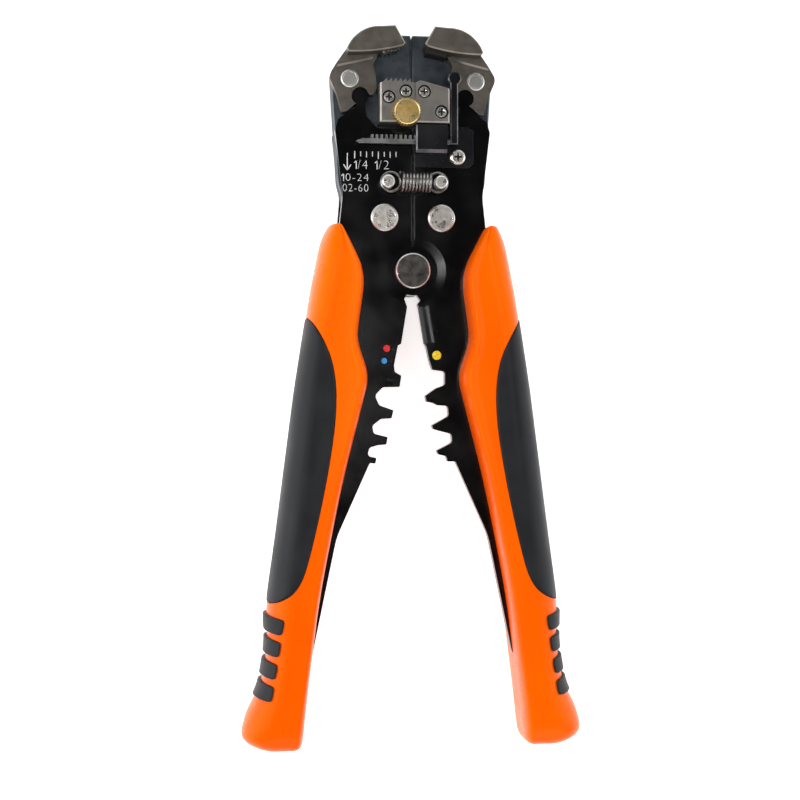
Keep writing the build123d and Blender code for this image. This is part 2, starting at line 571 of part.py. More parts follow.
def make_stop_guide():
    """Guide for the length stop: a base plate and a slotted block, with its screw and detent leaf."""
    low, foot, top = STOP_BAR_Y
    with BuildPart() as guide:
        with BuildSketch(Plane.XY.offset(FRONT_PLATE[1])):
            with BuildLine():
                FilletPolyline(
                    (0.5, 29.3), (0.5, 40.8), (15.4, 40.8), (17.2, 39.8), (17.2, 30.4), (15.8, 29.3),
                    radius=0.4, close=True,
                )
            make_face()
        extrude(amount=STOP_BASE_TOP - FRONT_PLATE[1])
        with BuildSketch(Plane.XY.offset(FRONT_PLATE[1])):
            with BuildLine():
                Polyline((0.4, 33.0), (0.4, 40.8), (9.3, 40.8), (9.3, 33.0), close=True)
            make_face()
        extrude(amount=STOP_GUIDE_TOP - FRONT_PLATE[1])
        chamfer(guide.faces().sort_by(Axis.Z)[-1].edges().sort_by(Axis.Y)[0], length=0.9, length2=0.9)
        chamfer(guide.faces().sort_by(Axis.Z)[-1].edges().sort_by(Axis.X)[0], length=0.4, length2=0.4)
        with BuildSketch(Plane.XY.offset(STOP_SLOT[0])):
            with BuildLine():
                Polyline((-1, low - 0.05), (-1, top + 0.05), (20, top + 0.05), (20, low - 0.05), close=True)
            make_face()
        extrude(amount=STOP_SLOT[1] - STOP_SLOT[0], mode=Mode.SUBTRACT)
        with BuildSketch(Plane.XY.offset(FRONT_PLATE[1])):
            with Locations(STOP_SCREW_XY):
                Circle(STOP_SCREW_R + SEATED)
        extrude(amount=STOP_BASE_TOP - FRONT_PLATE[1], mode=Mode.SUBTRACT)
    save(guide.part, "stop_guide")
    with BuildPart() as screw:
        with BuildSketch(Plane.XY.offset(STOP_BASE_TOP)):
            with Locations(STOP_SCREW_XY):
                Circle(STOP_SCREW_HEAD_R)
        extrude(amount=STOP_SCREW_HEAD_H)
        chamfer(screw.faces().sort_by(Axis.Z)[-1].edges(), 0.5)
        with BuildSketch(Plane.XY.offset(FRONT_PLATE[0] + 0.2)):
            with Locations(STOP_SCREW_XY):
                Circle(STOP_SCREW_R)
        extrude(amount=STOP_BASE_TOP - FRONT_PLATE[0] - 0.2)
        with BuildSketch(Plane.XY.offset(STOP_BASE_TOP + 0.6)):
            with Locations(STOP_SCREW_XY):
                Rectangle(STOP_SCREW_HEAD_R, STOP_SCREW_HEAD_R * 0.26)
                Rectangle(STOP_SCREW_HEAD_R * 0.26, STOP_SCREW_HEAD_R)
        extrude(amount=1, mode=Mode.SUBTRACT)
    save(screw.part, "stop_guide_screw")
    with BuildPart() as leaf:
        with BuildSketch(Plane.XY.offset(STOP_SLOT[1] - 0.3)):
            with Locations((4.8, (low + top) / 2)):
                Rectangle(7.0, 1.8)
        extrude(amount=0.3)
    save(leaf.part, "stop_detent_spring")


def grip_form(grow, layer, rounding):
    """Whole outside form of the right handle, grown by `grow` all round."""
    with BuildPart() as form:
        with BuildSketch(Plane.XY.offset(layer[0])):
            with BuildLine():
                outline(RIGHT, GRIP_OUTLINE)
            make_face()
            if grow:
                offset(amount=grow, mode=Mode.REPLACE)
        extrude(amount=layer[1] - layer[0])
        if rounding:
            fillet(form.faces().filter_by(Axis.Z).edges(), rounding)
    return form.part


HANDLE_FORM = grip_form(0, GRIP, HANDLE_ROUND)
HANDLE_CORE = grip_form(-RUBBER_THICK, (GRIP[0] + RUBBER_THICK, GRIP[1] - RUBBER_THICK), 0)
RIDGE_FORM = grip_form(RIDGE_PROUD, RIDGE, HANDLE_ROUND)


def make_handle(side, plates, tang_rivet):
    """Grip moulding, the soft pad let into its outer side, and the finger ridges below it."""
    name = SIDE_NAME[side]
    form, core, ridge_form = HANDLE_FORM, HANDLE_CORE, RIDGE_FORM
    if side == LEFT:
        form, core, ridge_form = (mirror(shape, about=Plane.YZ) for shape in (form, core, ridge_form))
    with BuildPart() as pad_zone:
        with BuildSketch(Plane.XY.offset(ZONE_FLOOR)):
            with BuildLine():
                outline(side, PAD_OUTLINE)
            make_face()
        extrude(amount=ZONE_HEIGHT)
        add(core, mode=Mode.SUBTRACT)
    with BuildPart() as ridge_zone:
        with BuildSketch(Plane.XY.offset(ZONE_FLOOR)):
            for i in range(RIDGES):
                x, y = RIDGE_FIRST_XY[0] + RIDGE_STEP[0] * i, RIDGE_FIRST_XY[1] + RIDGE_STEP[1] * i
                with Locations(Location((side * x, y, 0), (0, 0, side * RIDGE_TURN))):
                    RectangleRounded(RIDGE_WIDTH, RIDGE_LENGTH, RIDGE_ROUND)
        extrude(amount=ZONE_HEIGHT)
        add(core, mode=Mode.SUBTRACT)
    with BuildPart() as pad:
        add(form)
        add(pad_zone.part, mode=Mode.INTERSECT)
    save(pad.part, f"{name}_grip_pad")
    with BuildPart() as ridges:
        add(ridge_form)
        add(ridge_zone.part, mode=Mode.INTERSECT)
    save(ridges.part, f"{name}_grip_ridges")
    with BuildPart() as grip:
        add(form)
        add(pad_zone.part, mode=Mode.SUBTRACT)
        add(ridge_zone.part, mode=Mode.SUBTRACT)
        for plate in plates:
            add(plate, mode=Mode.SUBTRACT)
        add(tang_rivet, mode=Mode.SUBTRACT)
    save(grip.part, f"{name}_grip")


rivet(
    "main_rivet", (0, 0), PIVOT_R, PIVOT_HEAD_R, (REAR_PLATE[0] - HEAD_GAP, 0.0),
    FRONT_PLATE[1] - COIN_DEPTH + HEAD_GAP, PIVOT_HEAD_H,
)
for half in (LEFT, RIGHT):
    make_frame(half)
    rivet(
        f"{SIDE_NAME[half]}_jaw_rivet", at(half, JAW_PIN_XY), JAW_PIN_R, JAW_PIN_HEAD_R,
        (FRAME[0], FRAME[0] - LEVER_RIVET_HEAD_H), FRONT_PLATE[1] + HEAD_GAP, JAW_PIN_HEAD_H,
    )
    make_upper_jaw(half)
    make_lower_block(half)
    make_block_screws(half)
    front = make_front_plate(half)
    rear = make_rear_plate(half)
    tang_pin = make_lever_rivets(half)
    make_handle(half, (front, rear), tang_pin)
make_grip_insert()
make_blades()
make_adjusting_screw()
make_return_spring()
make_length_stop()
make_stop_guide()
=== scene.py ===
"""Looks of a self-adjusting wire stripper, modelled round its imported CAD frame.

Each sub-assembly is a class that builds its pieces and dresses them, each surface is a finish, and
main() builds the classes in order.  Everything is in metres in the frame of the CAD model: +Y runs
from the pivot to the jaws and +Z comes out of the front face, towards the viewer.
"""

import json
import logging
import math
from contextlib import contextmanager
from dataclasses import dataclass
from enum import Enum
from typing import Callable, ClassVar, Iterator, Sequence

import bmesh
import bpy
from mathutils import Matrix, Vector
from mathutils.bvhtree import BVHTree

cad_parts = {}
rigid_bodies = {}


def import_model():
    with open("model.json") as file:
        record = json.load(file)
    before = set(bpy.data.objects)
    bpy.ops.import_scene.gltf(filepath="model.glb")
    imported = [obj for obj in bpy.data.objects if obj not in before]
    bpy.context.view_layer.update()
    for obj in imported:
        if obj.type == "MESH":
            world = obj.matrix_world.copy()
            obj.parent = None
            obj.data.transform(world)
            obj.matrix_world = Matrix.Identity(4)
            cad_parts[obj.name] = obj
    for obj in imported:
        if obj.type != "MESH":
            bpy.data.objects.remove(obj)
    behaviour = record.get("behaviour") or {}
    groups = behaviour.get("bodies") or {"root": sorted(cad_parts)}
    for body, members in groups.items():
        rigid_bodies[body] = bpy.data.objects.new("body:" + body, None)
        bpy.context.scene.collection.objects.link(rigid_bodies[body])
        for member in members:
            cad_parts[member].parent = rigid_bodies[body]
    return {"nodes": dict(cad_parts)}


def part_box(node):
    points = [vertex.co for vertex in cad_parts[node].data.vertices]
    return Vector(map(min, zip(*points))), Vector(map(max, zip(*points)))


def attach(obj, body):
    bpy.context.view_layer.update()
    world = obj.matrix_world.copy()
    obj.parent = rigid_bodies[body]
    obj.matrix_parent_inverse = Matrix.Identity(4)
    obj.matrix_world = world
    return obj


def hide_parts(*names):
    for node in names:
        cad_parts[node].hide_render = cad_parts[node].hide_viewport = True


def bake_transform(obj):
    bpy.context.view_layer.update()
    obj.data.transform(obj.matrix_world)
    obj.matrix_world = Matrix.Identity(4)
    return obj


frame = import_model()

LOG = logging.getLogger("wire_stripper")
MM = 0.001
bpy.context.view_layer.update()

Colour = tuple[float, float, float]
Point = tuple[float, float]
Piece = bpy.types.Object


class Side(Enum):
    """The two mirrored halves of the tool; the value is the sign of X."""

    LEFT = -1
    RIGHT = 1

    def name_of(self, part: str) -> str:
        """Name of this side's node or body for a part, such as left_frame."""
        return f"{self.name.lower()}_{part}"


class Cut(Enum):
    """What a cutting solid does to the piece it is applied to."""

    REMOVE = "DIFFERENCE"
    KEEP = "INTERSECT"
    FUSE = "UNION"


# ---------------------------------------------------------------------------------------------
# Bench: small operations that every sub-assembly uses
# ---------------------------------------------------------------------------------------------


def activate(piece: Piece) -> None:
    """Deselect everything, then make this piece the selected, active one.

    Args:
        piece: the object to work on.
    """
    bpy.ops.object.select_all(action="DESELECT")
    piece.select_set(True)
    bpy.context.view_layer.objects.active = piece


@contextmanager
def editing(piece: Piece, domain: str = "VERT") -> Iterator[None]:
    """Edit mode on one piece, with nothing selected at the start.

    Args:
        piece: the mesh object to edit.
        domain: selection mode, VERT, EDGE or FACE.
    """
    activate(piece)
    bpy.ops.object.mode_set(mode="EDIT")
    bpy.ops.mesh.select_mode(type=domain)
    bpy.ops.mesh.select_all(action="DESELECT")
    yield
    bpy.ops.object.mode_set(mode="OBJECT")


def pick(piece: Piece, kind: str, test: Callable[..., bool]) -> int:
    """Select, in edit mode, just the elements that pass a test.

    Args:
        piece: the object being edited.
        kind: verts, edges or faces.
        test: called with each element.

    Returns:
        How many were selected.
    """
    bpy.ops.mesh.select_all(action="DESELECT")
    mesh = bmesh.from_edit_mesh(piece.data)
    chosen = [element for element in getattr(mesh, kind) if test(element)]
    for element in chosen:
        element.select_set(True)
    mesh.select_flush_mode()
    bmesh.update_edit_mesh(piece.data)
    return len(chosen)


def finish_modifiers(piece: Piece) -> None:
    """Apply every modifier of the piece, in order."""
    activate(piece)
    for modifier in list(piece.modifiers):
        bpy.ops.object.modifier_apply(modifier=modifier.name)


def settle(piece: Piece, smooth_angle: float = 35.0) -> Piece:
    """Put the place of a piece into its mesh and shade it smooth up to an angle.

    Args:
        piece: the finished object.
        smooth_angle: sharpest edge, in degrees, that is still shaded smooth.

    Returns:
        The same object.
    """
    finish_modifiers(piece)
    bpy.ops.object.transform_apply(location=True, rotation=True, scale=True)
    bpy.ops.object.shade_smooth_by_angle(angle=math.radians(smooth_angle))
    return piece


def cut(piece: Piece, tool: Piece, how: Cut, keep_tool: bool = False) -> None:
    """Apply a solid to a piece with an exact boolean.

    Args:
        piece: the piece that changes.
        tool: the solid applied to it.
        how: remove the tool, keep only what is inside it, or fuse the two.
        keep_tool: leave the tool in the scene for another cut.
    """
    modifier = piece.modifiers.new("cut", "BOOLEAN")
    modifier.operation = how.value
    modifier.solver = "EXACT"
    modifier.object = tool
    finish_modifiers(piece)
    if not keep_tool:
        bpy.data.objects.remove(tool)


def twin(piece: Piece, name: str) -> Piece:
    """A copy of a piece with a mesh of its own."""
    copy = piece.copy()
    copy.data = piece.data.copy()
    copy.name = name
    bpy.context.scene.collection.objects.link(copy)
    return copy


def mirrored(piece: Piece, name: str) -> Piece:
    """A copy of a piece carried to the other side of X = 0, with its faces turned outwards again."""
    copy = twin(piece, name)
    copy.scale.x = -1
    activate(copy)
    bpy.ops.object.transform_apply(location=True, rotation=True, scale=True)
    with editing(copy):
        bpy.ops.mesh.select_all(action="SELECT")
        bpy.ops.mesh.normals_make_consistent(inside=False)
    return copy


def joined(pieces: Sequence[Piece], name: str) -> Piece:
    """Several objects made into one piece."""
    activate(pieces[0])
    for piece in pieces[1:]:
        piece.select_set(True)
    bpy.ops.object.join()
    pieces[0].name = name
    return pieces[0]


def cad_copy(node: str, name: str) -> Piece:
    """A merged, clean copy of a CAD node's mesh, ready to be worked on.

    Args:
        node: name of the CAD node.
        name: name of the new object.

    Returns:
        The copy, whose flat faces are whole again.
    """
    copy = bpy.data.objects.new(name, frame["nodes"][node].data.copy())
    bpy.context.scene.collection.objects.link(copy)
    copy.data.materials.clear()
    with editing(copy):
        bpy.ops.mesh.select_all(action="SELECT")
        bpy.ops.mesh.remove_doubles(threshold=0.002 * MM)
        bpy.ops.mesh.customdata_custom_splitnormals_clear()
        bpy.ops.mesh.dissolve_limited(angle_limit=math.radians(0.6))
    return copy


def crease_shallow(piece: Piece) -> None:
    """Mark the border of the shallow recess round the pivot as sharp, so that its slope catches the light.

    Args:
        piece: the piece, shaded smooth.
    """
    with editing(piece, "EDGE"):
        mesh = bmesh.from_edit_mesh(piece.data)
        for edge in mesh.edges:
            faces = edge.link_faces
            near_pivot = max(vert.co.xy.length for vert in edge.verts) < 11 * MM
            if near_pivot and len(faces) == 2 and min(face.normal.z for face in faces) > 0.9:
                if faces[0].normal.angle(faces[1].normal) > math.radians(5):
                    edge.smooth = False
        bmesh.update_edit_mesh(piece.data)


def broken_edges(node: str, width: float, first: Callable[[Piece], None] | None = None) -> Piece:
    """A copy of a CAD node whose sharp edges are rounded over, as tumbled or painted metal is.

    Args:
        node: name of the CAD node that the copy stands for.
        width: width of the rounding, in metres.
        first: work done on the copy before its edges are rounded.

    Returns:
        The finished piece.
    """
    piece = cad_copy(node, f"{node}_edged")
    if first is not None:
        first(piece)
    bevel = piece.modifiers.new("edges", "BEVEL")
    bevel.width = width
    bevel.segments = 2
    bevel.limit_method = "ANGLE"
    bevel.angle_limit = math.radians(34)
    settle(piece, 32)
    crease_shallow(piece)
    weighted = piece.modifiers.new("flat_faces", "WEIGHTED_NORMAL")
    weighted.weight = 100
    weighted.keep_sharp = True
    finish_modifiers(piece)
    return piece


def place(piece: Piece, body: str, finish: "Finish", slot: str, *stands_for: str) -> Piece:
    """Dress a new piece and let it ride on its body.

    Args:
        piece: the finished object.
        body: CAD body that carries it.
        finish: its surface, unless its faces are dressed already.
        slot: material slot of the record; not used.
        stands_for: CAD nodes that it replaces.

    Returns:
        The same object.
    """
    if not piece.data.materials:
        piece.data.materials.append(finish.material())
    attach(piece, body)
    if stands_for:
        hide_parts(*stands_for)
    LOG.info("%s rides on %s", piece.name, body)
    return piece


def dress(node: str, finish: "Finish") -> None:
    """Give a CAD node that stays in view its finish."""
    piece = frame["nodes"][node]
    piece.data.materials.clear()
    piece.data.materials.append(finish.material())
    LOG.info("%s keeps its CAD shape", node)


def dress_faces(piece: Piece, finish: "Finish", test: Callable[..., bool]) -> None:
    """Give a second finish to the faces of a piece that pass a test.

    Args:
        piece: a piece that already has its main finish.
        finish: the second surface.
        test: called with each mesh polygon.
    """
    piece.data.materials.append(finish.material())
    index = len(piece.data.materials) - 1
    for face in piece.data.polygons:
        if test(face):
            face.material_index = index


def dress_edges(piece: Piece, main: "Finish", highlight_finish: "Finish") -> None:
    """Give the rounded front edges of a piece a lighter finish, a painted highlight for the light they catch, and the
    rest its main one.

    Args:
        piece: a piece whose edges are rounded.
        main: finish of the whole piece.
        highlight_finish: finish of the edges that face forwards at a slant.
    """
    piece.data.materials.append(main.material())
    # edges that face forwards at a slant get the lighter finish: a painted highlight
    dress_faces(piece, highlight_finish, lambda face: 0.3 < face.normal.z < 0.96)


# ---------------------------------------------------------------------------------------------
# Finishes
# ---------------------------------------------------------------------------------------------


class Shader:
    """Short way to wire a Principled material whose patterns follow Object coordinates."""

    def __init__(self, name: str) -> None:
        """Start an empty material with one Principled shader.

        Args:
            name: name of the material.
        """
        self.material = bpy.data.materials.new(name)
        self.material.use_nodes = True
        self.nodes = self.material.node_tree.nodes
        self.links = self.material.node_tree.links
        self.surface = self.nodes["Principled BSDF"]
        self.place = self.nodes.new("ShaderNodeTexCoord").outputs["Object"]
        self.height: bpy.types.NodeSocket | None = None

    def put(self, **values: float | Colour) -> None:
        """Set constants on the shader's own sockets; underscores stand for spaces."""
        for key, value in values.items():
            socket = self.surface.inputs[key.replace("_", " ")]
            socket.default_value = (*value, 1.0) if isinstance(value, tuple) else value

    def stretched(self, scale: Colour, turn: float = 0.0) -> bpy.types.NodeSocket:
        """Object coordinates scaled unevenly and turned about Z, for a brushed or drawn grain."""
        mapping = self.nodes.new("ShaderNodeMapping")
        mapping.inputs["Scale"].default_value = scale
        mapping.inputs["Rotation"].default_value = (0.0, 0.0, turn)
        self.links.new(self.place, mapping.inputs["Vector"])
        return mapping.outputs["Vector"]

    def noise(
        self, size: float, detail: float = 3.0, vector: bpy.types.NodeSocket | None = None
    ) -> bpy.types.NodeSocket:
        """Cloudy pattern.

        Args:
            size: size of its features in metres.
            detail: octaves of finer detail.
            vector: coordinates, the plain Object ones if none.

        Returns:
            Its value, about 0.5 on average.
        """
        node = self.nodes.new("ShaderNodeTexNoise")
        node.inputs["Scale"].default_value = 1.0 / size
        node.inputs["Detail"].default_value = detail
        self.links.new(vector or self.place, node.inputs["Vector"])
        return node.outputs["Fac"]

    def cells(self, size: float, smooth: bool = False) -> bpy.types.NodeSocket:
        """Distance to the nearest cell centre of a Voronoi pattern, its cells this many metres wide."""
        node = self.nodes.new("ShaderNodeTexVoronoi")
        node.feature = "SMOOTH_F1" if smooth else "F1"
        node.inputs["Scale"].default_value = 1.0 / size
        self.links.new(self.place, node.inputs["Vector"])
        return node.outputs["Distance"]

    def ramp(self, value: bpy.types.NodeSocket, low: float, high: float, to: Point = (0, 1)) -> bpy.types.NodeSocket:
        """Map a value's range to another one, clamped.

        Args:
            value: the pattern.
            low: its value that gives to[0].
            high: its value that gives to[1].
            to: the range it is mapped to.

        Returns:
            The mapped value.
        """
        node = self.nodes.new("ShaderNodeMapRange")
        node.inputs["From Min"].default_value = low
        node.inputs["From Max"].default_value = high
        node.inputs["To Min"].default_value = to[0]
        node.inputs["To Max"].default_value = to[1]
        self.links.new(value, node.inputs["Value"])
        return node.outputs["Result"]

    def colours(
        self, factor: bpy.types.NodeSocket, first: Colour | bpy.types.NodeSocket, second: Colour
    ) -> bpy.types.NodeSocket:
        """Blend from the first colour, or pattern of colours, to the second by a factor."""
        node = self.nodes.new("ShaderNodeMix")
        node.data_type = "RGBA"
        self.links.new(factor, node.inputs["Factor"])
        if isinstance(first, tuple):
            node.inputs["A"].default_value = (*first, 1.0)
        else:
            self.links.new(first, node.inputs["A"])
        node.inputs["B"].default_value = (*second, 1.0)
        return node.outputs["Result"]

    def wire(self, socket: bpy.types.NodeSocket, name: str) -> None:
        """Lead a pattern into one of the shader's sockets."""
        self.links.new(socket, self.surface.inputs[name])

    def bump(self, height: bpy.types.NodeSocket, depth: float, strength: float = 1.0) -> None:
        """Raise the surface by a pattern, on top of any bump made before.

        Args:
            height: the pattern.
            depth: its full height in metres.
            strength: how much of it shows.
        """
        node = self.nodes.new("ShaderNodeBump")
        node.inputs["Distance"].default_value = depth
        node.inputs["Strength"].default_value = strength
        self.links.new(height, node.inputs["Height"])
        if self.height is not None:
            self.links.new(self.height, node.inputs["Normal"])
        self.height = node.outputs["Normal"]
        self.wire(self.height, "Normal")


@dataclass(frozen=True)
class Finish:
    """A named surface; its material is made once and shared."""

    name: str
    colour: Colour

    def material(self) -> bpy.types.Material:
        """The Blender material of this finish, made the first time it is asked for."""
        known = bpy.data.materials.get(self.name)
        if known is None:
            shader = Shader(self.name)
            shader.put(Base_Color=self.colour)
            self.wire(shader)
            known = shader.material
        return known

    def wire(self, shader: Shader) -> None:
        """Wire this finish's patterns; each kind of finish has its own."""
        raise NotImplementedError


@dataclass(frozen=True)
class GlossPaint(Finish):
    """Sprayed or dipped paint on steel: faint orange peel, dust specks and rubbed patches."""

    dust: Colour = (0.09, 0.09, 0.1)
    gloss: Point = (0.13, 0.26)

    def wire(self, shader: Shader) -> None:
        """Orange peel in the bump, rubbed patches in the roughness and specks in the colour."""
        patches = shader.noise(9 * MM, 4)
        shader.wire(shader.ramp(patches, 0.35, 0.7, self.gloss), "Roughness")
        specks = shader.ramp(shader.cells(1.9 * MM), 0.075, 0.05)
        sparse = shader.ramp(shader.noise(7 * MM, 1), 0.56, 0.62)
        both = shader.nodes.new("ShaderNodeMath")
        both.operation = "MULTIPLY"
        shader.links.new(specks, both.inputs[0])
        shader.links.new(sparse, both.inputs[1])
        shader.wire(shader.colours(both.outputs[0], self.colour, self.dust), "Base Color")
        shader.bump(shader.noise(0.9 * MM, 2), 0.006 * MM)
        shader.put(Specular_IOR_Level=0.34)


@dataclass(frozen=True)
class MouldedPlastic(Finish):
    """Injection-moulded plastic: even colour with soft flow marks and a fine spark-eroded grain."""

    shade: Colour = (0.9, 0.1, 0.0)

    def wire(self, shader: Shader) -> None:
        """Flow marks in the colour, satin patches in the roughness and a very fine grain."""
        flow = shader.noise(26 * MM, 2, shader.stretched((1.0, 0.35, 1.0)))
        shader.wire(shader.colours(shader.ramp(flow, 0.4, 0.65), self.colour, self.shade), "Base Color")
        shader.wire(shader.ramp(shader.noise(6 * MM, 3), 0.3, 0.7, (0.24, 0.34)), "Roughness")
        shader.bump(shader.noise(0.35 * MM, 2), 0.004 * MM)
        shader.put(Specular_IOR_Level=0.3, Specular_Tint=(1.0, 0.45, 0.1))


@dataclass(frozen=True)
class SoftRubber(Finish):
    """Thermoplastic rubber: matt to satin, with a leathery micro grain and scuffed lighter clouds."""

    scuff: Colour = (0.014, 0.015, 0.018)

    def wire(self, shader: Shader) -> None:
        """Cloudy scuffs, a varied dull gloss and two scales of grain."""
        clouds = shader.noise(11 * MM, 4)
        shader.wire(shader.colours(shader.ramp(clouds, 0.42, 0.72), self.colour, self.scuff), "Base Color")
        shader.wire(shader.ramp(clouds, 0.3, 0.7, (0.42, 0.56)), "Roughness")
        shader.bump(shader.cells(0.45 * MM, smooth=True), 0.012 * MM)
        shader.bump(shader.noise(2.2 * MM, 3), 0.02 * MM)
        shader.put(Specular_IOR_Level=0.24)


@dataclass(frozen=True)
class GroundSteel(Finish):
    """Ground or blued steel: straight grinding lines, mottled oxide and small pits."""

    oxide: Colour = (0.06, 0.055, 0.05)
    gloss: Point = (0.34, 0.5)
    grain_turn: float = 0.0
    metal: float = 0.9

    def wire(self, shader: Shader) -> None:
        """Grinding lines and pits in the bump, oxide clouds in the colour and roughness."""
        clouds = shader.noise(3.4 * MM, 5)
        lines = shader.noise(0.35 * MM, 2, shader.stretched((0.04, 1.0, 1.0), self.grain_turn))
        shader.wire(shader.colours(shader.ramp(clouds, 0.42, 0.75), self.colour, self.oxide), "Base Color")
        shader.wire(shader.ramp(lines, 0.3, 0.7, self.gloss), "Roughness")
        shader.bump(lines, 0.006 * MM)
        shader.bump(shader.ramp(shader.cells(1.3 * MM), 0.05, 0.14), 0.012 * MM, 0.7)
        shader.put(Metallic=self.metal)


@dataclass(frozen=True)
class PeenedSteel(Finish):
    """Hammered rivet face: shallow overlapping dents, bright where it was struck and dull between."""

    dull: Colour = (0.18, 0.17, 0.16)
    dent: float = 0.8 * MM
    depth: float = 0.03 * MM
    gloss: Point = (0.2, 0.42)

    def wire(self, shader: Shader) -> None:
        """Dents in the bump, with tarnish and a duller gloss between them."""
        dents = shader.cells(self.dent, smooth=True)
        streaks = shader.noise(2.3 * MM, 5)
        shader.wire(shader.colours(shader.ramp(streaks, 0.4, 0.72), self.colour, self.dull), "Base Color")
        shader.wire(shader.ramp(streaks, 0.35, 0.65, self.gloss), "Roughness")
        shader.bump(dents, self.depth)
        shader.bump(shader.noise(0.3 * MM, 3), 0.25 * self.depth)
        shader.put(Metallic=1.0)


@dataclass(frozen=True)
class TurnedMetal(Finish):
    """Turned, plated or drawn metal: fine rings or draw lines, with scratches across them."""

    tarnish: Colour = (0.3, 0.3, 0.3)
    gloss: Point = (0.16, 0.32)
    scratch: float = 0.5

    def wire(self, shader: Shader) -> None:
        """Tarnish clouds in the colour and crossing scratches in the bump."""
        clouds = shader.noise(2.2 * MM, 4)
        first = shader.noise(0.3 * MM, 3, shader.stretched((0.08, 1.0, 1.0), 0.6))
        second = shader.noise(0.3 * MM, 3, shader.stretched((0.08, 1.0, 1.0), -0.9))
        shader.wire(shader.colours(shader.ramp(clouds, 0.44, 0.7), self.colour, self.tarnish), "Base Color")
        shader.wire(shader.ramp(clouds, 0.35, 0.7, self.gloss), "Roughness")
        shader.bump(first, 0.015 * MM, self.scratch)
        shader.bump(second, 0.015 * MM, self.scratch)
        shader.put(Metallic=1.0)


@dataclass(frozen=True)
class Ink(Finish):
    """Screen-printed or dripped enamel: thinner and greyer in small patches."""

    thin: Colour = (0.45, 0.45, 0.45)

    def wire(self, shader: Shader) -> None:
        """Thin patches in the colour and a slightly rough film."""
        patches = shader.ramp(shader.noise(0.6 * MM, 3), 0.5, 0.72)
        shader.wire(shader.colours(patches, self.colour, self.thin), "Base Color")
        shader.wire(shader.ramp(shader.noise(1.5 * MM, 2), 0.3, 0.7, (0.25, 0.45)), "Roughness")
        shader.bump(shader.noise(0.5 * MM, 2), 0.01 * MM)


LEVER_BLACK = GlossPaint("lever_black_paint", (0.0026, 0.0026, 0.003), dust=(0.05, 0.05, 0.055))
# The next three finishes are lighter than their main ones: painted highlights for the slanted front edges of frames,
# jaws and blocks.
FRAME_EDGE_HIGHLIGHT = GroundSteel("frame_rubbed_edge", (0.14, 0.155, 0.17), oxide=(0.08, 0.09, 0.1))
JAW_EDGE_HIGHLIGHT = GroundSteel("jaw_rubbed_edge", (0.3, 0.275, 0.24), oxide=(0.19, 0.17, 0.15), gloss=(0.3, 0.44))
BLOCK_EDGE_HIGHLIGHT = GroundSteel("block_rubbed_edge", (0.42, 0.395, 0.36), oxide=(0.3, 0.28, 0.25), gloss=(0.28, 0.42))
RIB_STEEL = GroundSteel("stop_rib_steel", (0.32, 0.32, 0.32), oxide=(0.16, 0.16, 0.16), gloss=(0.24, 0.4))
# Lighter finish for the stop's slanted front edges: a painted highlight.
STOP_EDGE_HIGHLIGHT = GroundSteel("stop_rubbed_edge", (0.17, 0.17, 0.18), oxide=(0.06, 0.06, 0.065), gloss=(0.24, 0.38))
STOP_BLACK = GlossPaint("stop_black_oxide", (0.006, 0.006, 0.0075), dust=(0.09, 0.09, 0.1), gloss=(0.2, 0.36))
# Darker finish for the frames' side faces: painted shade.
FRAME_SIDE_SHADE = GroundSteel("frame_side_steel", (0.02, 0.023, 0.026), oxide=(0.012, 0.014, 0.016), gloss=(0.4, 0.55))
FRAME_STEEL = GroundSteel(
    "frame_blued_steel", (0.075, 0.088, 0.1), oxide=(0.035, 0.04, 0.047), gloss=(0.36, 0.52), grain_turn=0.2
)
JAW_STEEL = GroundSteel("jaw_gunmetal", (0.155, 0.138, 0.118), oxide=(0.1, 0.088, 0.075), gloss=(0.36, 0.5))
BLOCK_STEEL = GroundSteel("block_ground_steel", (0.25, 0.235, 0.215), oxide=(0.2, 0.187, 0.17), gloss=(0.34, 0.48))
# Near-black finish for the stripping blades under the jaws: painted shade.
BLADE_SHADE = GlossPaint("blade_dark_steel", (0.008, 0.0075, 0.007), dust=(0.03, 0.03, 0.03), gloss=(0.6, 0.75))
# Very bright steel for the insert's teeth: steel with a painted glint.
TOOTH_GLINT_STEEL = GroundSteel("tooth_steel", (0.82, 0.8, 0.76), oxide=(0.5, 0.48, 0.45), gloss=(0.24, 0.36), metal=1.0)
# Near-black finish in counterbores and screw recesses: painted shade.
BORE_SHADE = GlossPaint("counterbore_dark", (0.012, 0.011, 0.01), gloss=(0.5, 0.7))
RIVET_NICKEL = PeenedSteel("rivet_nickel", (0.84, 0.8, 0.74), dull=(0.42, 0.395, 0.36), dent=0.75 * MM)
JAW_RIVET_STEEL = PeenedSteel("jaw_rivet_steel", (0.6, 0.585, 0.555), dull=(0.5, 0.485, 0.46), dent=0.6 * MM, depth=0.003 * MM, gloss=(0.3, 0.36))
PIVOT_FACE = PeenedSteel(
    "pivot_face_steel", (0.13, 0.12, 0.11), dull=(0.03, 0.028, 0.026), dent=0.45 * MM, gloss=(0.3, 0.5)
)
# Bright finish for rivet rims and slanted screw edges: a painted highlight.
RIM_HIGHLIGHT = TurnedMetal("bright_rim", (0.92, 0.91, 0.88), tarnish=(0.7, 0.68, 0.65), gloss=(0.3, 0.42), scratch=0.2)
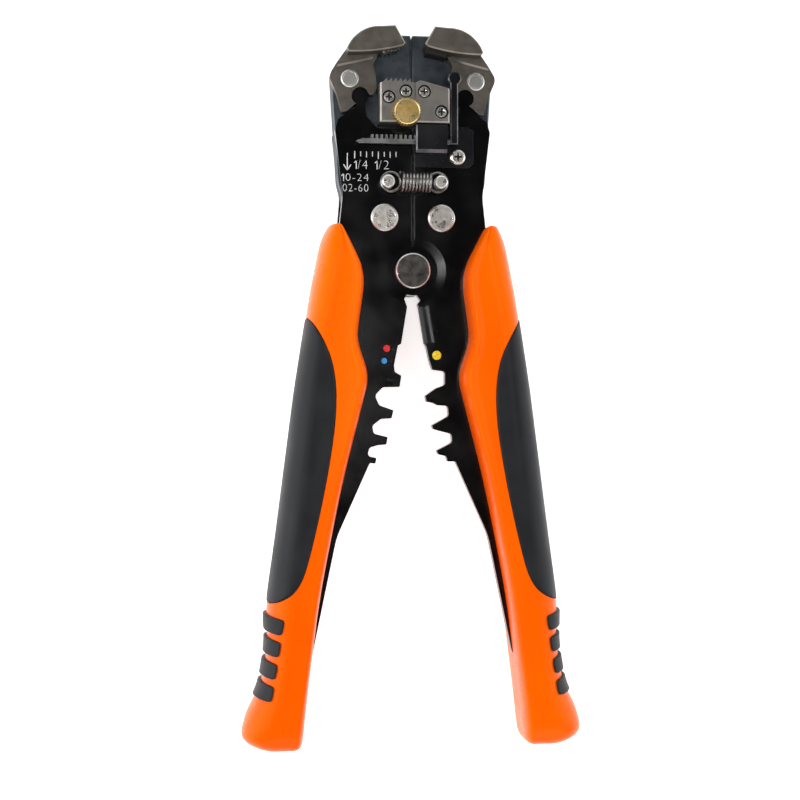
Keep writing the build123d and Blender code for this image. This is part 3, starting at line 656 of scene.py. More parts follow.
# Bright bare steel for the seam's rubbed edges: real wear, made bright as a painted highlight as well.
SEAM_WEAR_AND_HIGHLIGHT = TurnedMetal("worn_edge_steel", (0.75, 0.75, 0.76), tarnish=(0.3, 0.3, 0.3), gloss=(0.3, 0.45))
KNOB_FACE = PeenedSteel(
    "knob_scuffed_brass", (1.0, 0.76, 0.33), dull=(0.56, 0.33, 0.08), dent=0.6 * MM, depth=0.02 * MM, gloss=(0.24, 0.38)
)
SCREW_ZINC = TurnedMetal("screw_zinc", (0.86, 0.83, 0.76), tarnish=(0.62, 0.59, 0.53), gloss=(0.22, 0.36))
KNOB_BRASS = TurnedMetal("knob_brass", (0.93, 0.66, 0.22), tarnish=(0.5, 0.31, 0.08), gloss=(0.16, 0.36), scratch=0.9)
SPRING_WIRE = TurnedMetal("spring_wire", (0.3, 0.29, 0.28), tarnish=(0.14, 0.135, 0.13), gloss=(0.22, 0.36), scratch=0.3)
GRIP_ORANGE = MouldedPlastic("grip_orange_plastic", (1.0, 0.142, 0.0), shade=(0.97, 0.11, 0.0))
GRIP_RUBBER = SoftRubber("grip_soft_rubber", (0.0085, 0.009, 0.011))
WHITE_INK = Ink("white_print", (0.8, 0.8, 0.8), thin=(0.35, 0.35, 0.36))
RED_ENAMEL = Ink("red_enamel", (0.78, 0.018, 0.02), thin=(0.5, 0.01, 0.012))
BLUE_ENAMEL = Ink("blue_enamel", (0.03, 0.36, 0.82), thin=(0.02, 0.22, 0.55))
YELLOW_ENAMEL = Ink("yellow_enamel", (0.92, 0.72, 0.02), thin=(0.55, 0.36, 0.01))


# ---------------------------------------------------------------------------------------------
# Sub-assemblies
# ---------------------------------------------------------------------------------------------


@dataclass
class Head:
    """Split head: frames, upper jaws with their inserts, lower blocks and their screws."""

    frame_edge: float = 0.35 * MM
    jaw_edge: float = 0.22 * MM
    block_edge: float = 0.2 * MM
    small_edge: float = 0.08 * MM
    screw_axes: ClassVar[dict[Side, tuple[Point, Point]]] = {
        Side.LEFT: ((-7.35, 48.3), (-2.55, 50.0)),
        Side.RIGHT: ((2.65, 50.0), (7.55, 44.4)),
    }

    def build(self) -> None:
        """Build both halves and the pieces that only one side has."""
        for side in Side:
            own_frame = side.name_of("frame")
            jaw = side.name_of("jaw")
            for node, width, finish, highlight_finish, slot, body in (
                (own_frame, self.frame_edge, FRAME_STEEL, FRAME_EDGE_HIGHLIGHT, "frame_steel", own_frame),
                (side.name_of("upper_jaw"), self.jaw_edge, JAW_STEEL, JAW_EDGE_HIGHLIGHT, "jaw_steel", jaw),
                (side.name_of("lower_jaw"), self.block_edge, BLOCK_STEEL, BLOCK_EDGE_HIGHLIGHT, "block_steel", own_frame),
                (side.name_of("block_screws"), self.small_edge, SCREW_ZINC, RIM_HIGHLIGHT, "screw_steel", own_frame),
            ):
                piece = broken_edges(node, width)
                # the slanted front edges take a lighter finish: a painted highlight
                dress_edges(piece, finish, highlight_finish)
                if node == own_frame:
                    # the frame's side faces get the darker finish: painted shade
                    dress_faces(piece, FRAME_SIDE_SHADE, lambda face: abs(face.normal.z) < 0.3)
                place(piece, body, finish, slot, node)
            self.paint_bore_shade(side)
        # the toothed insert takes the very bright steel: a painted glint on its teeth
        teeth = broken_edges("grip_insert", self.small_edge)
        place(teeth, "left_jaw", TOOTH_GLINT_STEEL, "jaw_steel", "grip_insert")
        # both stripping blades are near-black: painted shade where they sit under the jaws
        dress("upper_stripping_blade", BLADE_SHADE)
        dress("lower_stripping_blade", BLADE_SHADE)


    def paint_bore_shade(self, side: Side) -> None:
        """Paint shade into the screw counterbores of one lower block: their walls and seats get a near-black finish."""
        block = bpy.data.objects[side.name_of("lower_jaw_edged")]
        screws = bpy.data.objects[side.name_of("block_screws_edged")]
        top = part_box(side.name_of("lower_jaw"))[1].z
        axes = [Vector(axis) * MM for axis in self.screw_axes[side]]

        def off_axis(polygon: bpy.types.MeshPolygon) -> float:
            """Distance of a polygon from the nearest screw axis, in millimetres."""
            return min((polygon.center.xy - axis).length for axis in axes) / MM

        # painted shade: near-black counterbore walls and seats, and the screw faces sunk below the block's top
        dress_faces(block, BORE_SHADE, lambda p: off_axis(p) < 2.0 and p.center.z < top - 0.02 * MM)
        dress_faces(screws, BORE_SHADE, lambda p: off_axis(p) < 1.15 and -0.75 < (p.center.z - top) / MM < -0.2)


@dataclass
class Rivets:
    """Every rivet and post; the big ones have a rolled rim, painted bright as its highlight, round a hammered face."""

    edge: float = 0.2 * MM
    rim_width: float = 0.62 * MM

    def head(self, node: str, body: str, face: Finish, slot: str) -> None:
        """One rivet, its rim and its face dressed apart.

        Args:
            node: CAD node of the rivet.
            body: body that carries it.
            face: finish of the hammered face.
            slot: material slot of the record.
        """
        piece = broken_edges(node, self.edge)
        low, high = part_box(node)
        centre = (low + high) / 2
        radius = (high.x - low.x) / 2
        # the rim and sides of the rivet take the bright finish: a painted highlight
        piece.data.materials.append(RIM_HIGHLIGHT.material())

        def hammered(polygon: bpy.types.MeshPolygon) -> bool:
            """True inside the rim of either end."""
            middle = Vector((polygon.center.x - centre.x, polygon.center.y - centre.y))
            return middle.length < radius - self.rim_width

        dress_faces(piece, face, hammered)
        place(piece, body, face, slot, node)

    def build(self) -> None:
        """The main rivet, the lever and jaw rivets, the posts and the hidden tang rivets."""
        self.head("main_rivet", "left_frame", PIVOT_FACE, "pivot_steel")
        for side in Side:
            self.head(side.name_of("lever_rivet"), side.name_of("lever"), RIVET_NICKEL, "rivet_steel")
            self.head(side.name_of("jaw_rivet"), side.name_of("frame"), JAW_RIVET_STEEL, "rivet_steel")
            self.head(side.name_of("spring_post"), side.name_of("lever"), RIVET_NICKEL, "rivet_steel")
            dress(side.name_of("tang_rivet"), RIVET_NICKEL)


@dataclass
class AdjustingScrew:
    """Brass screw on the left block: a knurled head with a bevelled rim and a scuffed, dished face."""

    knurls: int = 30
    knurl_depth: float = 0.75 * MM
    rim: float = 0.42 * MM
    dish: float = 0.12 * MM

    def build(self) -> None:
        """Turn the head from a cylinder and seat it on the CAD screw's place."""
        low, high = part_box("adjusting_screw")
        radius = (high.x - low.x) / 2
        height = 3.0 * MM
        centre = Vector(((low.x + high.x) / 2, (low.y + high.y) / 2, high.z - height / 2))
        bpy.ops.mesh.primitive_cylinder_add(vertices=2 * self.knurls, radius=radius, depth=height, location=centre)
        knob = bpy.context.active_object
        knob.name = "adjusting_knob"
        top = height / 2
        with editing(knob, "FACE"):
            pick(knob, "faces", lambda f: abs(f.normal.z) > 0.9)
            bpy.ops.mesh.inset(thickness=self.rim, use_individual=True)
            bpy.ops.mesh.select_mode(type="VERT")
            self.roll_edges(knob, radius, top)
            self.press_knurls(knob, radius)
            bpy.ops.mesh.select_mode(type="FACE")
            pick(knob, "faces", lambda f: f.normal.z > 0.9 and len(f.verts) > 8)
            bpy.ops.mesh.inset(thickness=0.25 * MM)
            bpy.ops.transform.translate(value=(0, 0, -self.dish))
            bpy.ops.mesh.inset(thickness=0.5 * MM)
            bpy.ops.mesh.inset(thickness=1.2 * MM)
            bpy.ops.transform.translate(value=(0, 0, 0.04 * MM))
        bpy.ops.mesh.primitive_cylinder_add(
            vertices=40, radius=1.2 * MM, depth=high.z - low.z - height + 0.2 * MM,
            location=(centre.x, centre.y, (low.z + high.z - height) / 2 + 0.1 * MM),
        )
        shank = bpy.context.active_object
        with editing(shank, "FACE"):
            pick(shank, "faces", lambda f: f.normal.z < -0.9)
            bpy.ops.mesh.inset(thickness=0.3 * MM)
        knob = settle(joined([knob, shank], "adjusting_knob"), 24)
        knob.data.materials.append(KNOB_BRASS.material())

        def face_of_head(polygon: bpy.types.MeshPolygon) -> bool:
            """True on the dished face inside the rim."""
            across = Vector((polygon.center.x - centre.x, polygon.center.y - centre.y))
            return polygon.center.z > high.z - 0.5 * MM and across.length < radius - self.rim * 1.4

        dress_faces(knob, KNOB_FACE, face_of_head)
        place(knob, "adjusting_screw", KNOB_BRASS, "knob_brass", "adjusting_screw")

    def roll_edges(self, knob: Piece, radius: float, top: float) -> None:
        """Pull the outermost ring of both ends in from the edge, so that the inset becomes a bevel."""
        pick(knob, "verts", lambda v: abs(abs(v.co.z) - top) < 1e-6 and v.co.xy.length > radius * 0.98)
        bpy.ops.transform.resize(value=(1, 1, 1 - 0.5 * self.rim / top), center_override=knob.location)

    def press_knurls(self, knob: Piece, radius: float) -> None:
        """Press every second line of the side inwards."""
        step = math.pi / self.knurls
        pick(
            knob, "verts",
            lambda v: v.co.xy.length > radius * 0.98 and round(math.atan2(v.co.y, v.co.x) / step) % 2 == 0,
        )
        share = 1 - self.knurl_depth / radius
        bpy.ops.transform.resize(value=(share, share, 1), center_override=knob.location)


@dataclass
class Levers:
    """Front and rear lever plates with the cutter, the crimp dies and the marks beside them."""

    plate_edge: float = 0.2 * MM
    seam_edge: float = 0.42 * MM
    drop_height: float = 0.22 * MM

    def build(self) -> None:
        """Both pairs of plates, then the coloured die marks."""
        for side in Side:
            body = side.name_of("lever")
            for part in ("lever_front_plate", "lever_rear_plate"):
                node = side.name_of(part)
                plate = broken_edges(node, self.plate_edge, first=self.round_seam)
                plate.data.materials.append(LEVER_BLACK.material())
                # rubbed seam edges: worn bare steel, painted bright as their highlight
                dress_faces(plate, SEAM_WEAR_AND_HIGHLIGHT, self.on_seam)
                place(plate, body, LEVER_BLACK, "lever_black", node)
        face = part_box("left_lever_front_plate")[1].z
        for name, x, y, radius, finish, body in (
            ("red_die_mark", -7.5, -22.1, 1.0, RED_ENAMEL, "left_lever"),
            ("blue_die_mark", -8.2, -25.65, 0.85, BLUE_ENAMEL, "left_lever"),
            ("yellow_die_mark", 6.85, -24.0, 1.3, YELLOW_ENAMEL, "right_lever"),
        ):
            drop = self.drop(name, Vector((x * MM, y * MM, face)), radius * MM)
            place(drop, body, finish, "lever_black")
        for index, (x, y) in enumerate(((-6.15, -22.3), (-6.85, -25.65), (-6.5, -31.0))):
            punch = self.punch_mark(f"die_punch_{index}", Vector((x * MM, y * MM, face)), 0.75 * MM)
            place(punch, "left_lever", LEVER_BLACK, "lever_black")

    def round_seam(self, plate: Piece) -> None:
        """Round the front edges along the seam more than the others."""
        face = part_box("left_lever_front_plate")[1].z
        with editing(plate, "EDGE"):
            found = pick(plate, "edges", lambda e: all(
                abs(v.co.x) < 0.3 * MM and abs(v.co.z - face) < 0.02 * MM and v.co.y > 6 * MM for v in e.verts
            ))
            if found:
                bpy.ops.mesh.bevel(offset=self.seam_edge, segments=2, affect="EDGES")

    def on_seam(self, polygon: bpy.types.MeshPolygon) -> bool:
        """True on the rubbed edges where the two plates face each other above the pivot, painted bright: worn bare
        steel and a painted highlight.
        """
        across, along, up = polygon.center / MM
        return abs(across) < 0.7 and 6.8 < along < 24.0 and up > 11.5 and abs(polygon.normal.z) < 0.98

    def drop(self, name: str, foot: Vector, radius: float) -> Piece:
        """A drop of enamel: a disc whose top is inset and raised into a flat dome.

        Args:
            name: name of the piece.
            foot: centre of its foot.
            radius: its radius.

        Returns:
            The finished drop.
        """
        bpy.ops.mesh.primitive_cylinder_add(vertices=28, radius=radius, depth=0.04 * MM, location=foot)
        drop = bpy.context.active_object
        drop.name = name
        with editing(drop, "FACE"):
            for share, rise in ((0.12, 0.45), (0.22, 0.3), (0.3, 0.17)):
                pick(drop, "faces", lambda f: f.normal.z > 0.9 and len(f.verts) > 8)
                bpy.ops.mesh.inset(thickness=radius * share)
                bpy.ops.transform.translate(value=(0, 0, self.drop_height * rise))
        return settle(drop, 60)

    def punch_mark(self, name: str, foot: Vector, radius: float) -> Piece:
        """The raised burr round a small punched mark.

        Args:
            name: name of the piece.
            foot: centre on the plate's face.
            radius: outer radius of the burr.

        Returns:
            The finished ring.
        """
        bpy.ops.mesh.primitive_cylinder_add(vertices=24, radius=radius, depth=0.06 * MM, location=foot)
        ring = bpy.context.active_object
        ring.name = name
        with editing(ring, "FACE"):
            pick(ring, "faces", lambda f: f.normal.z > 0.9 and len(f.verts) > 8)
            bpy.ops.mesh.inset(thickness=radius * 0.22)
            bpy.ops.transform.translate(value=(0, 0, 0.07 * MM))
            bpy.ops.mesh.inset(thickness=radius * 0.22)
            bpy.ops.mesh.inset(thickness=radius * 0.2)
            bpy.ops.transform.translate(value=(0, 0, -0.09 * MM))
        return settle(ring, 50)


@dataclass
class ScalePrint:
    """White print on the left plate: a strip-length scale, its arrow and two wire ranges."""

    film: float = 0.03 * MM
    stroke: float = 0.26 * MM
    ticks: int = 8
    tick_from: Point = (-16.6, 33.5)
    tick_pitch: float = 1.68
    long_tick: float = 1.85
    short_tick: float = 1.2
    arrow: tuple[Point, Point] = ((-18.7, 32.9), (-18.7, 28.2))
    arrow_barb: Point = (1.0, 1.5)

    def build(self) -> None:
        """Print every mark and join them into one piece on the left lever."""
        marks = []
        for index in range(self.ticks):
            x = self.tick_from[0] + self.tick_pitch * index
            length = self.long_tick if index % 4 == 0 else self.short_tick + 0.3 * (index % 2 == 0)
            marks.append(self.line((x, self.tick_from[1]), (x, self.tick_from[1] - length)))
        marks.append(self.line(*self.arrow))
        tip_x, tip_y = self.arrow[1]
        for side in Side:
            barb = (tip_x + side.value * self.arrow_barb[0], tip_y + self.arrow_barb[1])
            marks.append(self.line(barb, (tip_x, tip_y)))
        for words, left, low, right, high in (
            ("/4", -15.75, 28.6, -12.95, 31.1),
            ("/2", -9.8, 28.6, -6.85, 31.1),
            ("0-24", -19.15, 25.15, -12.65, 27.25),
            ("02-60", -20.0, 22.2, -12.75, 24.3),
        ):
            marks.append(self.figures(words, (left, low), (right, high)))
        for x, low, high in ((-16.15, 28.7, 30.9), (-10.25, 28.7, 30.9), (-19.75, 25.25, 27.15)):
            marks.append(self.line((x, high), (x, low)))
            marks.append(self.line((x - 0.5, high - 0.5), (x, high)))
        place(settle(joined(marks, "scale_print"), 30), "left_lever", WHITE_INK, "lever_black")

    def surface(self) -> float:
        """Height of the plate's face."""
        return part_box("left_lever_front_plate")[1].z

    def line(self, start: Point, end: Point) -> Piece:
        """A printed stroke with rounded ends, from start to end in millimetres."""
        a, b = Vector(start) * MM, Vector(end) * MM
        middle, along = (a + b) / 2, b - a
        bpy.ops.mesh.primitive_plane_add(size=1, location=(*middle, self.surface() - 0.01 * MM))
        mark = bpy.context.active_object
        mark.scale = (self.stroke, along.length + self.stroke, 1)
        mark.rotation_euler.z = math.atan2(along.y, along.x) - math.pi / 2
        bpy.ops.object.transform_apply(location=False, rotation=True, scale=True)
        with editing(mark):
            bpy.ops.mesh.select_all(action="SELECT")
            bpy.ops.mesh.bevel(offset=self.stroke * 0.42, segments=2, affect="VERTICES")
            bpy.ops.mesh.select_all(action="SELECT")
            bpy.ops.mesh.extrude_region_move(TRANSFORM_OT_translate={"value": (0, 0, self.film + 0.01 * MM)})
            bpy.ops.mesh.select_all(action="SELECT")
            bpy.ops.mesh.normals_make_consistent(inside=False)
        bpy.ops.object.transform_apply(location=True, rotation=True, scale=True)
        return mark

    def figures(self, words: str, low: Point, high: Point) -> Piece:
        """Printed figures that fill a rectangle, given by two corners in millimetres."""
        bpy.ops.object.text_add()
        text = bpy.context.active_object
        text.data.body = words
        text.data.extrude = self.film / 2
        text.data.offset = -0.022
        text.data.space_character = 1.12
        text.data.resolution_u = 4
        activate(text)
        bpy.ops.object.convert(target="MESH")
        mark = bpy.context.active_object
        corners = [vertex.co.xy for vertex in mark.data.vertices]
        x0, x1 = min(c.x for c in corners), max(c.x for c in corners)
        y0, y1 = min(c.y for c in corners), max(c.y for c in corners)
        wide = (high[0] - low[0]) * MM / (x1 - x0)
        tall = (high[1] - low[1]) * MM / (y1 - y0)
        fit = Matrix.Translation((low[0] * MM, low[1] * MM, self.surface() + self.film / 2))
        fit = fit @ Matrix.Diagonal((wide, tall, 1, 1)) @ Matrix.Translation((-x0, -y0, 0))
        mark.matrix_world = fit
        activate(mark)
        bpy.ops.object.transform_apply(location=True, rotation=True, scale=True)
        with editing(mark):
            bpy.ops.mesh.select_all(action="SELECT")
            bpy.ops.mesh.remove_doubles(threshold=0.001 * MM)
        return mark


@dataclass
class ReturnSpring:
    """Close-wound extension spring between the two posts, with a hook round each."""

    turns: int = 9
    wire: float = 0.38 * MM
    steps_per_turn: int = 28
    wire_sides: int = 12
    coil_from: float = -4.0 * MM
    coil_to: float = 4.5 * MM
    loop_shift: float = 0.85 * MM  # each loop hangs off centre, pulled against the far side of its post

    def build(self) -> None:
        """The coil, left unattached between the two posts, and a hook on each lever."""
        posts = {side: self.centre_of(side.name_of("spring_post")) for side in Side}
        low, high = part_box("return_spring")
        axis_y = posts[Side.LEFT].y
        axis_z = low.z + (high.z - low.z) / 2
        radius = (high.z - low.z) / 2 - self.wire
        ends = {Side.LEFT: self.coil_from, Side.RIGHT: self.coil_to}
        coil = self.coil(ends[Side.LEFT], ends[Side.RIGHT], axis_y, axis_z, radius)
        coil.data.materials.append(SPRING_WIRE.material())
        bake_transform(coil)
        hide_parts("return_spring")
        LOG.info("%s bends between the two frames", coil.name)
        for side in Side:
            hook = self.hook(side, posts[side], axis_z, radius)
            place(hook, side.name_of("lever"), SPRING_WIRE, "spring_steel")

    def centre_of(self, node: str) -> Vector:
        """Middle of a CAD node's box."""
        low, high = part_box(node)
        return (low + high) / 2

    def coil(self, start: float, end: float, y: float, z: float, radius: float) -> Piece:
        """The coiled body: a wire's section carried round and along X.

        Args:
            start: X of its first turn.
            end: X of its last turn.
            y: Y of its axis.
            z: Z of its axis.
            radius: radius of the wire's centreline.

        Returns:
            The finished coil.
        """
        bpy.ops.mesh.primitive_circle_add(
            vertices=self.wire_sides, radius=self.wire, location=(start, y + radius, z), rotation=(0, 0, 0)
        )
        coil = bpy.context.active_object
        coil.name = "return_spring_coil"
        bpy.ops.object.transform_apply(location=True, rotation=True, scale=True)
        pitch = (end - start) / self.turns
        steps = self.turns * self.steps_per_turn
        with editing(coil, "EDGE"):
            bpy.ops.mesh.select_all(action="SELECT")
            for _ in range(steps):
                bpy.ops.mesh.extrude_edges_move(TRANSFORM_OT_translate={"value": (pitch / self.steps_per_turn, 0, 0)})
                bpy.ops.transform.rotate(
                    value=2 * math.pi / self.steps_per_turn, orient_axis="X", orient_type="GLOBAL",
                    center_override=(0, y, z),
                )
            pick(coil, "edges", lambda e: e.is_boundary)
            bpy.ops.mesh.edge_face_add()
            bpy.ops.mesh.select_all(action="SELECT")
            bpy.ops.mesh.normals_make_consistent(inside=False)
        return settle(coil, 60)

    def hook(self, side: Side, post: Vector, z: float, radius: float) -> Piece:
        """The full loop at one end, hung round its post and closed against the coil.

        Args:
            side: which end of the spring.
            post: centre of the post.
            z: height of the spring's axis.
            radius: radius of the loop's centreline.

        Returns:
            The finished hook.
        """
        centre = (post.x - side.value * self.loop_shift, post.y, z)
        bpy.ops.mesh.primitive_torus_add(
            major_radius=radius, minor_radius=self.wire, major_segments=56, minor_segments=self.wire_sides,
            location=centre,
        )
        hook = bpy.context.active_object
        hook.name = side.name_of("spring_hook")
        return settle(hook, 60)


@dataclass
class LengthStop:
    """Sliding stop with its guide, screw and detent leaf."""

    edge: float = 0.26 * MM
    fine_edge: float = 0.13 * MM

    def build(self) -> None:
        """The stop rides on its slide; the rest on the right lever."""
        for node, width, body in (("length_stop", self.fine_edge, "length_stop"), ("stop_guide", self.edge, "right_lever")):
            piece = broken_edges(node, width)
            # slanted front edges take the lighter finish: a painted highlight
            dress_edges(piece, STOP_BLACK, STOP_EDGE_HIGHLIGHT)
            if node == "length_stop":
                dress_faces(piece, RIB_STEEL, self.on_rib)
            place(piece, body, STOP_BLACK, "stop_black", node)
        screw = broken_edges("stop_guide_screw", self.fine_edge)
        low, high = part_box("stop_guide_screw")
        axis = (low + high).xy / 2
        screw.data.materials.append(SCREW_ZINC.material())
        # painted shade: near-black faces in the screw's sunk recess
        dress_faces(
            screw, BORE_SHADE,
            lambda p: (p.center.xy - axis).length < 1.3 * MM and 0.3 < (high.z - p.center.z) / MM < 1.2,
        )
        place(screw, "right_lever", SCREW_ZINC, "screw_steel", "stop_guide_screw")
        dress("stop_detent_spring", SPRING_WIRE)


    def on_rib(self, polygon: bpy.types.MeshPolygon) -> bool:
        """True on the ribs of the bar."""
        across, along, up = polygon.center / MM
        return across < 9.5 and along > 36.9 and up < 15.6


@dataclass
class Handle:
    """One moulded grip, its soft pad and its four finger ridges; the other side is its mirror image.

    The form is lofted along Y.  Its width at each place is that of the CAD grip, and its section has
    a bead along the inner edge, a flat panel, a crease and a rounded outer side.
    """

    pad_depth: float = 2.0 * MM
    pad_proud: float = 0.22 * MM
    ridge_out: float = 1.0 * MM
    ridge_up: float = 0.48 * MM
    ridge_count: int = 4
    ridge_first: Point = (41.9, -98.6)
    ridge_step: Point = (0.95, -6.1)
    ridge_size: Point = (9.8, 4.5)
    ridge_turn: float = 11.0
    probe_height: float = 16 * MM
    tip_stations: tuple[float, ...] = (0.25, 0.9, 2.0, 3.6, 5.6, 8.0, 11.0, 14.5, 18.5, 22.5, 26.0, 29.0)
    body_stations: tuple[float, ...] = (
        31.5, 34.0, 36.5, 39.0, 41.5, 44.0, 46.5, 49.5, 54.0, 61.0, 70.0, 80.0, 90.0, 100.0, 109.5,
    )
    end_stations: tuple[float, ...] = (31.0, 24.0, 17.5, 12.0, 8.5, 6.0, 4.0, 2.4, 1.2, 0.4)

    def build(self) -> None:
        """Build the right-hand pieces, mirror them, and put both sets on their levers."""
        core = self.form("core", -self.pad_depth, -self.pad_depth)
        pad_tool = self.pad_prism()
        ridge_tools = [self.ridge_prism(index) for index in range(self.ridge_count)]
        cut(pad_tool, core, Cut.REMOVE, keep_tool=True)
        ridge_tool = joined(ridge_tools, "ridge_tool")
        cut(ridge_tool, core, Cut.REMOVE)

        pad = self.form("right_soft_pad", self.pad_proud, self.pad_proud)
        cut(pad, pad_tool, Cut.KEEP, keep_tool=True)
        self.soften_rubber(pad, 0.42 * MM)

        ridges = self.form("right_finger_ridges", self.ridge_out, self.ridge_up)
        cut(ridges, ridge_tool, Cut.KEEP, keep_tool=True)
        self.soften_rubber(ridges, 0.26 * MM)

        grip = self.form("right_grip_moulding")
        cut(grip, pad_tool, Cut.REMOVE)
        cut(grip, ridge_tool, Cut.REMOVE)
        settle(grip, 40)

        for piece, finish, slot, node in (
            (grip, GRIP_ORANGE, "grip_orange", "grip"),
            (pad, GRIP_RUBBER, "grip_rubber", "grip_pad"),
            (ridges, GRIP_RUBBER, "grip_rubber", "grip_ridges"),
        ):
            other = mirrored(piece, piece.name.replace("right", "left"))
            place(other, "left_lever", finish, slot, Side.LEFT.name_of(node))
            place(piece, "right_lever", finish, slot, Side.RIGHT.name_of(node))

    def stations(self) -> list[float]:
        """Y of every section, from the tip to the far end."""
        low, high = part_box("right_grip")
        from_tip = [high.y - distance * MM for distance in (*self.tip_stations, *self.body_stations)]
        return from_tip + [low.y + distance * MM for distance in self.end_stations]

    def span_finder(self) -> Callable[[float], tuple[float, float]]:
        """A function that gives the inner and outer X of the CAD handle at a given Y."""
        graph = bpy.context.evaluated_depsgraph_get()
        trees = [BVHTree.FromObject(frame["nodes"][name], graph) for name in ("right_grip", "right_grip_pad")]
        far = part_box("right_grip")[1].x + 10 * MM

        def span(y: float) -> tuple[float, float]:
            """Nearest hit of any handle piece from either side."""
            ends = []
            for start, step in ((0.0, 1.0), (far, -1.0)):
                hits = [tree.ray_cast(Vector((start, y, self.probe_height)), Vector((step, 0, 0)))[0] for tree in trees]
                places = [hit.x for hit in hits if hit is not None]
                ends.append(min(places) if step > 0 else max(places))
            return ends[0], ends[1]

        return span

    def section(self, y: float, inner: float, outer: float) -> list[Point]:
        """Front half of the section at a station, as fractions of its half width and half height.

        Args:
            y: place of the station along the tool.
            inner: X of the inner edge.
            outer: X of the outer edge.

        Returns:
            Points (across, up) from the inner edge to the outer one.
        """
        crease_x = self.crease_at(y)
        crease = max(-0.52, min(0.5, 2 * (crease_x - inner) / (outer - inner) - 1))
        upper = self.blend_between(y, -70 * MM, -40 * MM)
        dip = 0.018 + 0.055 * upper
        step = 0.012 + 0.02 * upper
        panel = 1 - dip
        points = [(-1.0, 0.0), (-1.0, 0.42), (-0.965, 0.74), (-0.885, 0.925), (-0.78, 1.0), (-0.68, 1 - dip * 0.45)]
        foot = -0.585
        for share in (0.0, 0.3, 0.65, 0.93):
            points.append((foot + (crease - 0.03 - foot) * share, panel))
        roll = panel + step
        for t in (0.0, 0.1, 0.28, 0.46, 0.63, 0.77, 0.88, 0.955, 1.0):
            points.append((crease + (1 - crease) * t, roll * math.sqrt(max(0.0, 1 - t**2.6))))
        return points

    def crease_at(self, y: float) -> float:
        """X of the crease between the flat panel and the rounded side."""
        marks = ((16.0, 19.6), (7.0, 20.4), (-19.0, 25.7), (-90.0, 33.4), (-114.0, 35.7), (-136.0, 38.4))
        for (y0, x0), (y1, x1) in zip(marks, marks[1:]):
            if y / MM >= y1:
                return (x0 + (x1 - x0) * (y / MM - y0) / (y1 - y0)) * MM
        return marks[-1][1] * MM

    def blend_between(self, value: float, low: float, high: float) -> float:
        """Smooth step from 0 at low to 1 at high."""
        t = max(0.0, min(1.0, (value - low) / (high - low)))
        return t * t * (3 - 2 * t)

    def form(self, name: str, wider: float = 0.0, taller: float = 0.0) -> Piece:
        """The whole outside form: a ring extruded from station to station and fitted to each section.

        Args:
            name: name of the object.
            wider: how much wider each half section is than that of the handle.
            taller: how much taller it is.

        Returns:
            The closed, subdivided form.
        """
        stations = self.stations()
        span = self.span_finder()
        low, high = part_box("right_grip")
        middle, half = (low.z + high.z) / 2, (high.z - low.z) / 2
        count = 2 * len(self.section(0.0, -1.0, 1.0)) - 2
        bpy.ops.mesh.primitive_circle_add(
            vertices=count, radius=2 * MM, location=(22 * MM, stations[0], middle), rotation=(math.pi / 2, 0, 0)
        )
        form = bpy.context.active_object
        form.name = name
        bpy.ops.object.transform_apply(location=True, rotation=True, scale=True)
        with editing(form):
            bpy.ops.mesh.select_all(action="SELECT")
            for here, beyond in zip(stations, stations[1:]):
                bpy.ops.mesh.extrude_edges_move(TRANSFORM_OT_translate={"value": (0, beyond - here, 0)})
            mesh = bmesh.from_edit_mesh(form.data)
            mesh.verts.ensure_lookup_table()
            for index, y in enumerate(stations):
                inner, outer = span(y)
                front = self.section(y, inner, outer)
                ring = front + [(across, -up) for across, up in reversed(front[1:-1])]
                thin = self.end_height(stations[0] - y, y - stations[-1])
                for vertex, (across, up) in zip(mesh.verts[index * count:(index + 1) * count], ring):
                    vertex.co.x = (inner + outer) / 2 + across * ((outer - inner) / 2 + wider)
                    vertex.co.z = middle + up * (half * thin + taller)
            bmesh.update_edit_mesh(form.data)
            for y in (stations[0], stations[-1]):
                pick(form, "verts", lambda v: abs(v.co.y - y) < 1e-6)
                bpy.ops.mesh.edge_face_add()
            bpy.ops.mesh.select_all(action="SELECT")
            bpy.ops.mesh.normals_make_consistent(inside=False)
        surface = form.modifiers.new("surface", "SUBSURF")
        surface.levels = surface.render_levels = 2
        finish_modifiers(form)
        return form

    def end_height(self, from_tip: float, from_end: float) -> float:
        """Share of the full height left near either end of the handle."""
        tip = 0.72 + 0.28 * math.sqrt(max(0.0, 1 - (1 - min(1.0, from_tip / (9 * MM))) ** 2))
        end = 0.5 + 0.5 * math.sqrt(max(0.0, 1 - (1 - min(1.0, from_end / (8 * MM))) ** 2))
        return min(tip, end)

    def prism(self, name: str, spline_points: Sequence[Point], order: int) -> Piece:
        """A tall solid on a smooth closed outline.

        Args:
            name: name of the object.
            spline_points: control points of the outline, in millimetres.
            order: order of the NURBS outline; 2 leaves it straight.

        Returns:
            The solid, standing through the whole handle.
        """
        curve = bpy.data.curves.new(name, "CURVE")
        curve.dimensions = "2D"
        curve.fill_mode = "BOTH"
        curve.extrude = 14 * MM
        spline = curve.splines.new("NURBS")
        spline.points.add(len(spline_points) - 1)
        for point, (x, y) in zip(spline.points, spline_points):
            point.co = (x * MM, y * MM, 0, 1)
        spline.use_cyclic_u = True
        spline.order_u = order
        spline.resolution_u = 8
        tool = bpy.data.objects.new(name, curve)
        bpy.context.scene.collection.objects.link(tool)
        tool.location.z = 11 * MM
        activate(tool)
        bpy.ops.object.convert(target="MESH")
        tool = bpy.context.active_object
        bpy.ops.object.transform_apply(location=True, rotation=True, scale=True)
        with editing(tool):
            bpy.ops.mesh.select_all(action="SELECT")
            bpy.ops.mesh.remove_doubles(threshold=0.002 * MM)
            bpy.ops.mesh.normals_make_consistent(inside=False)
        return tool

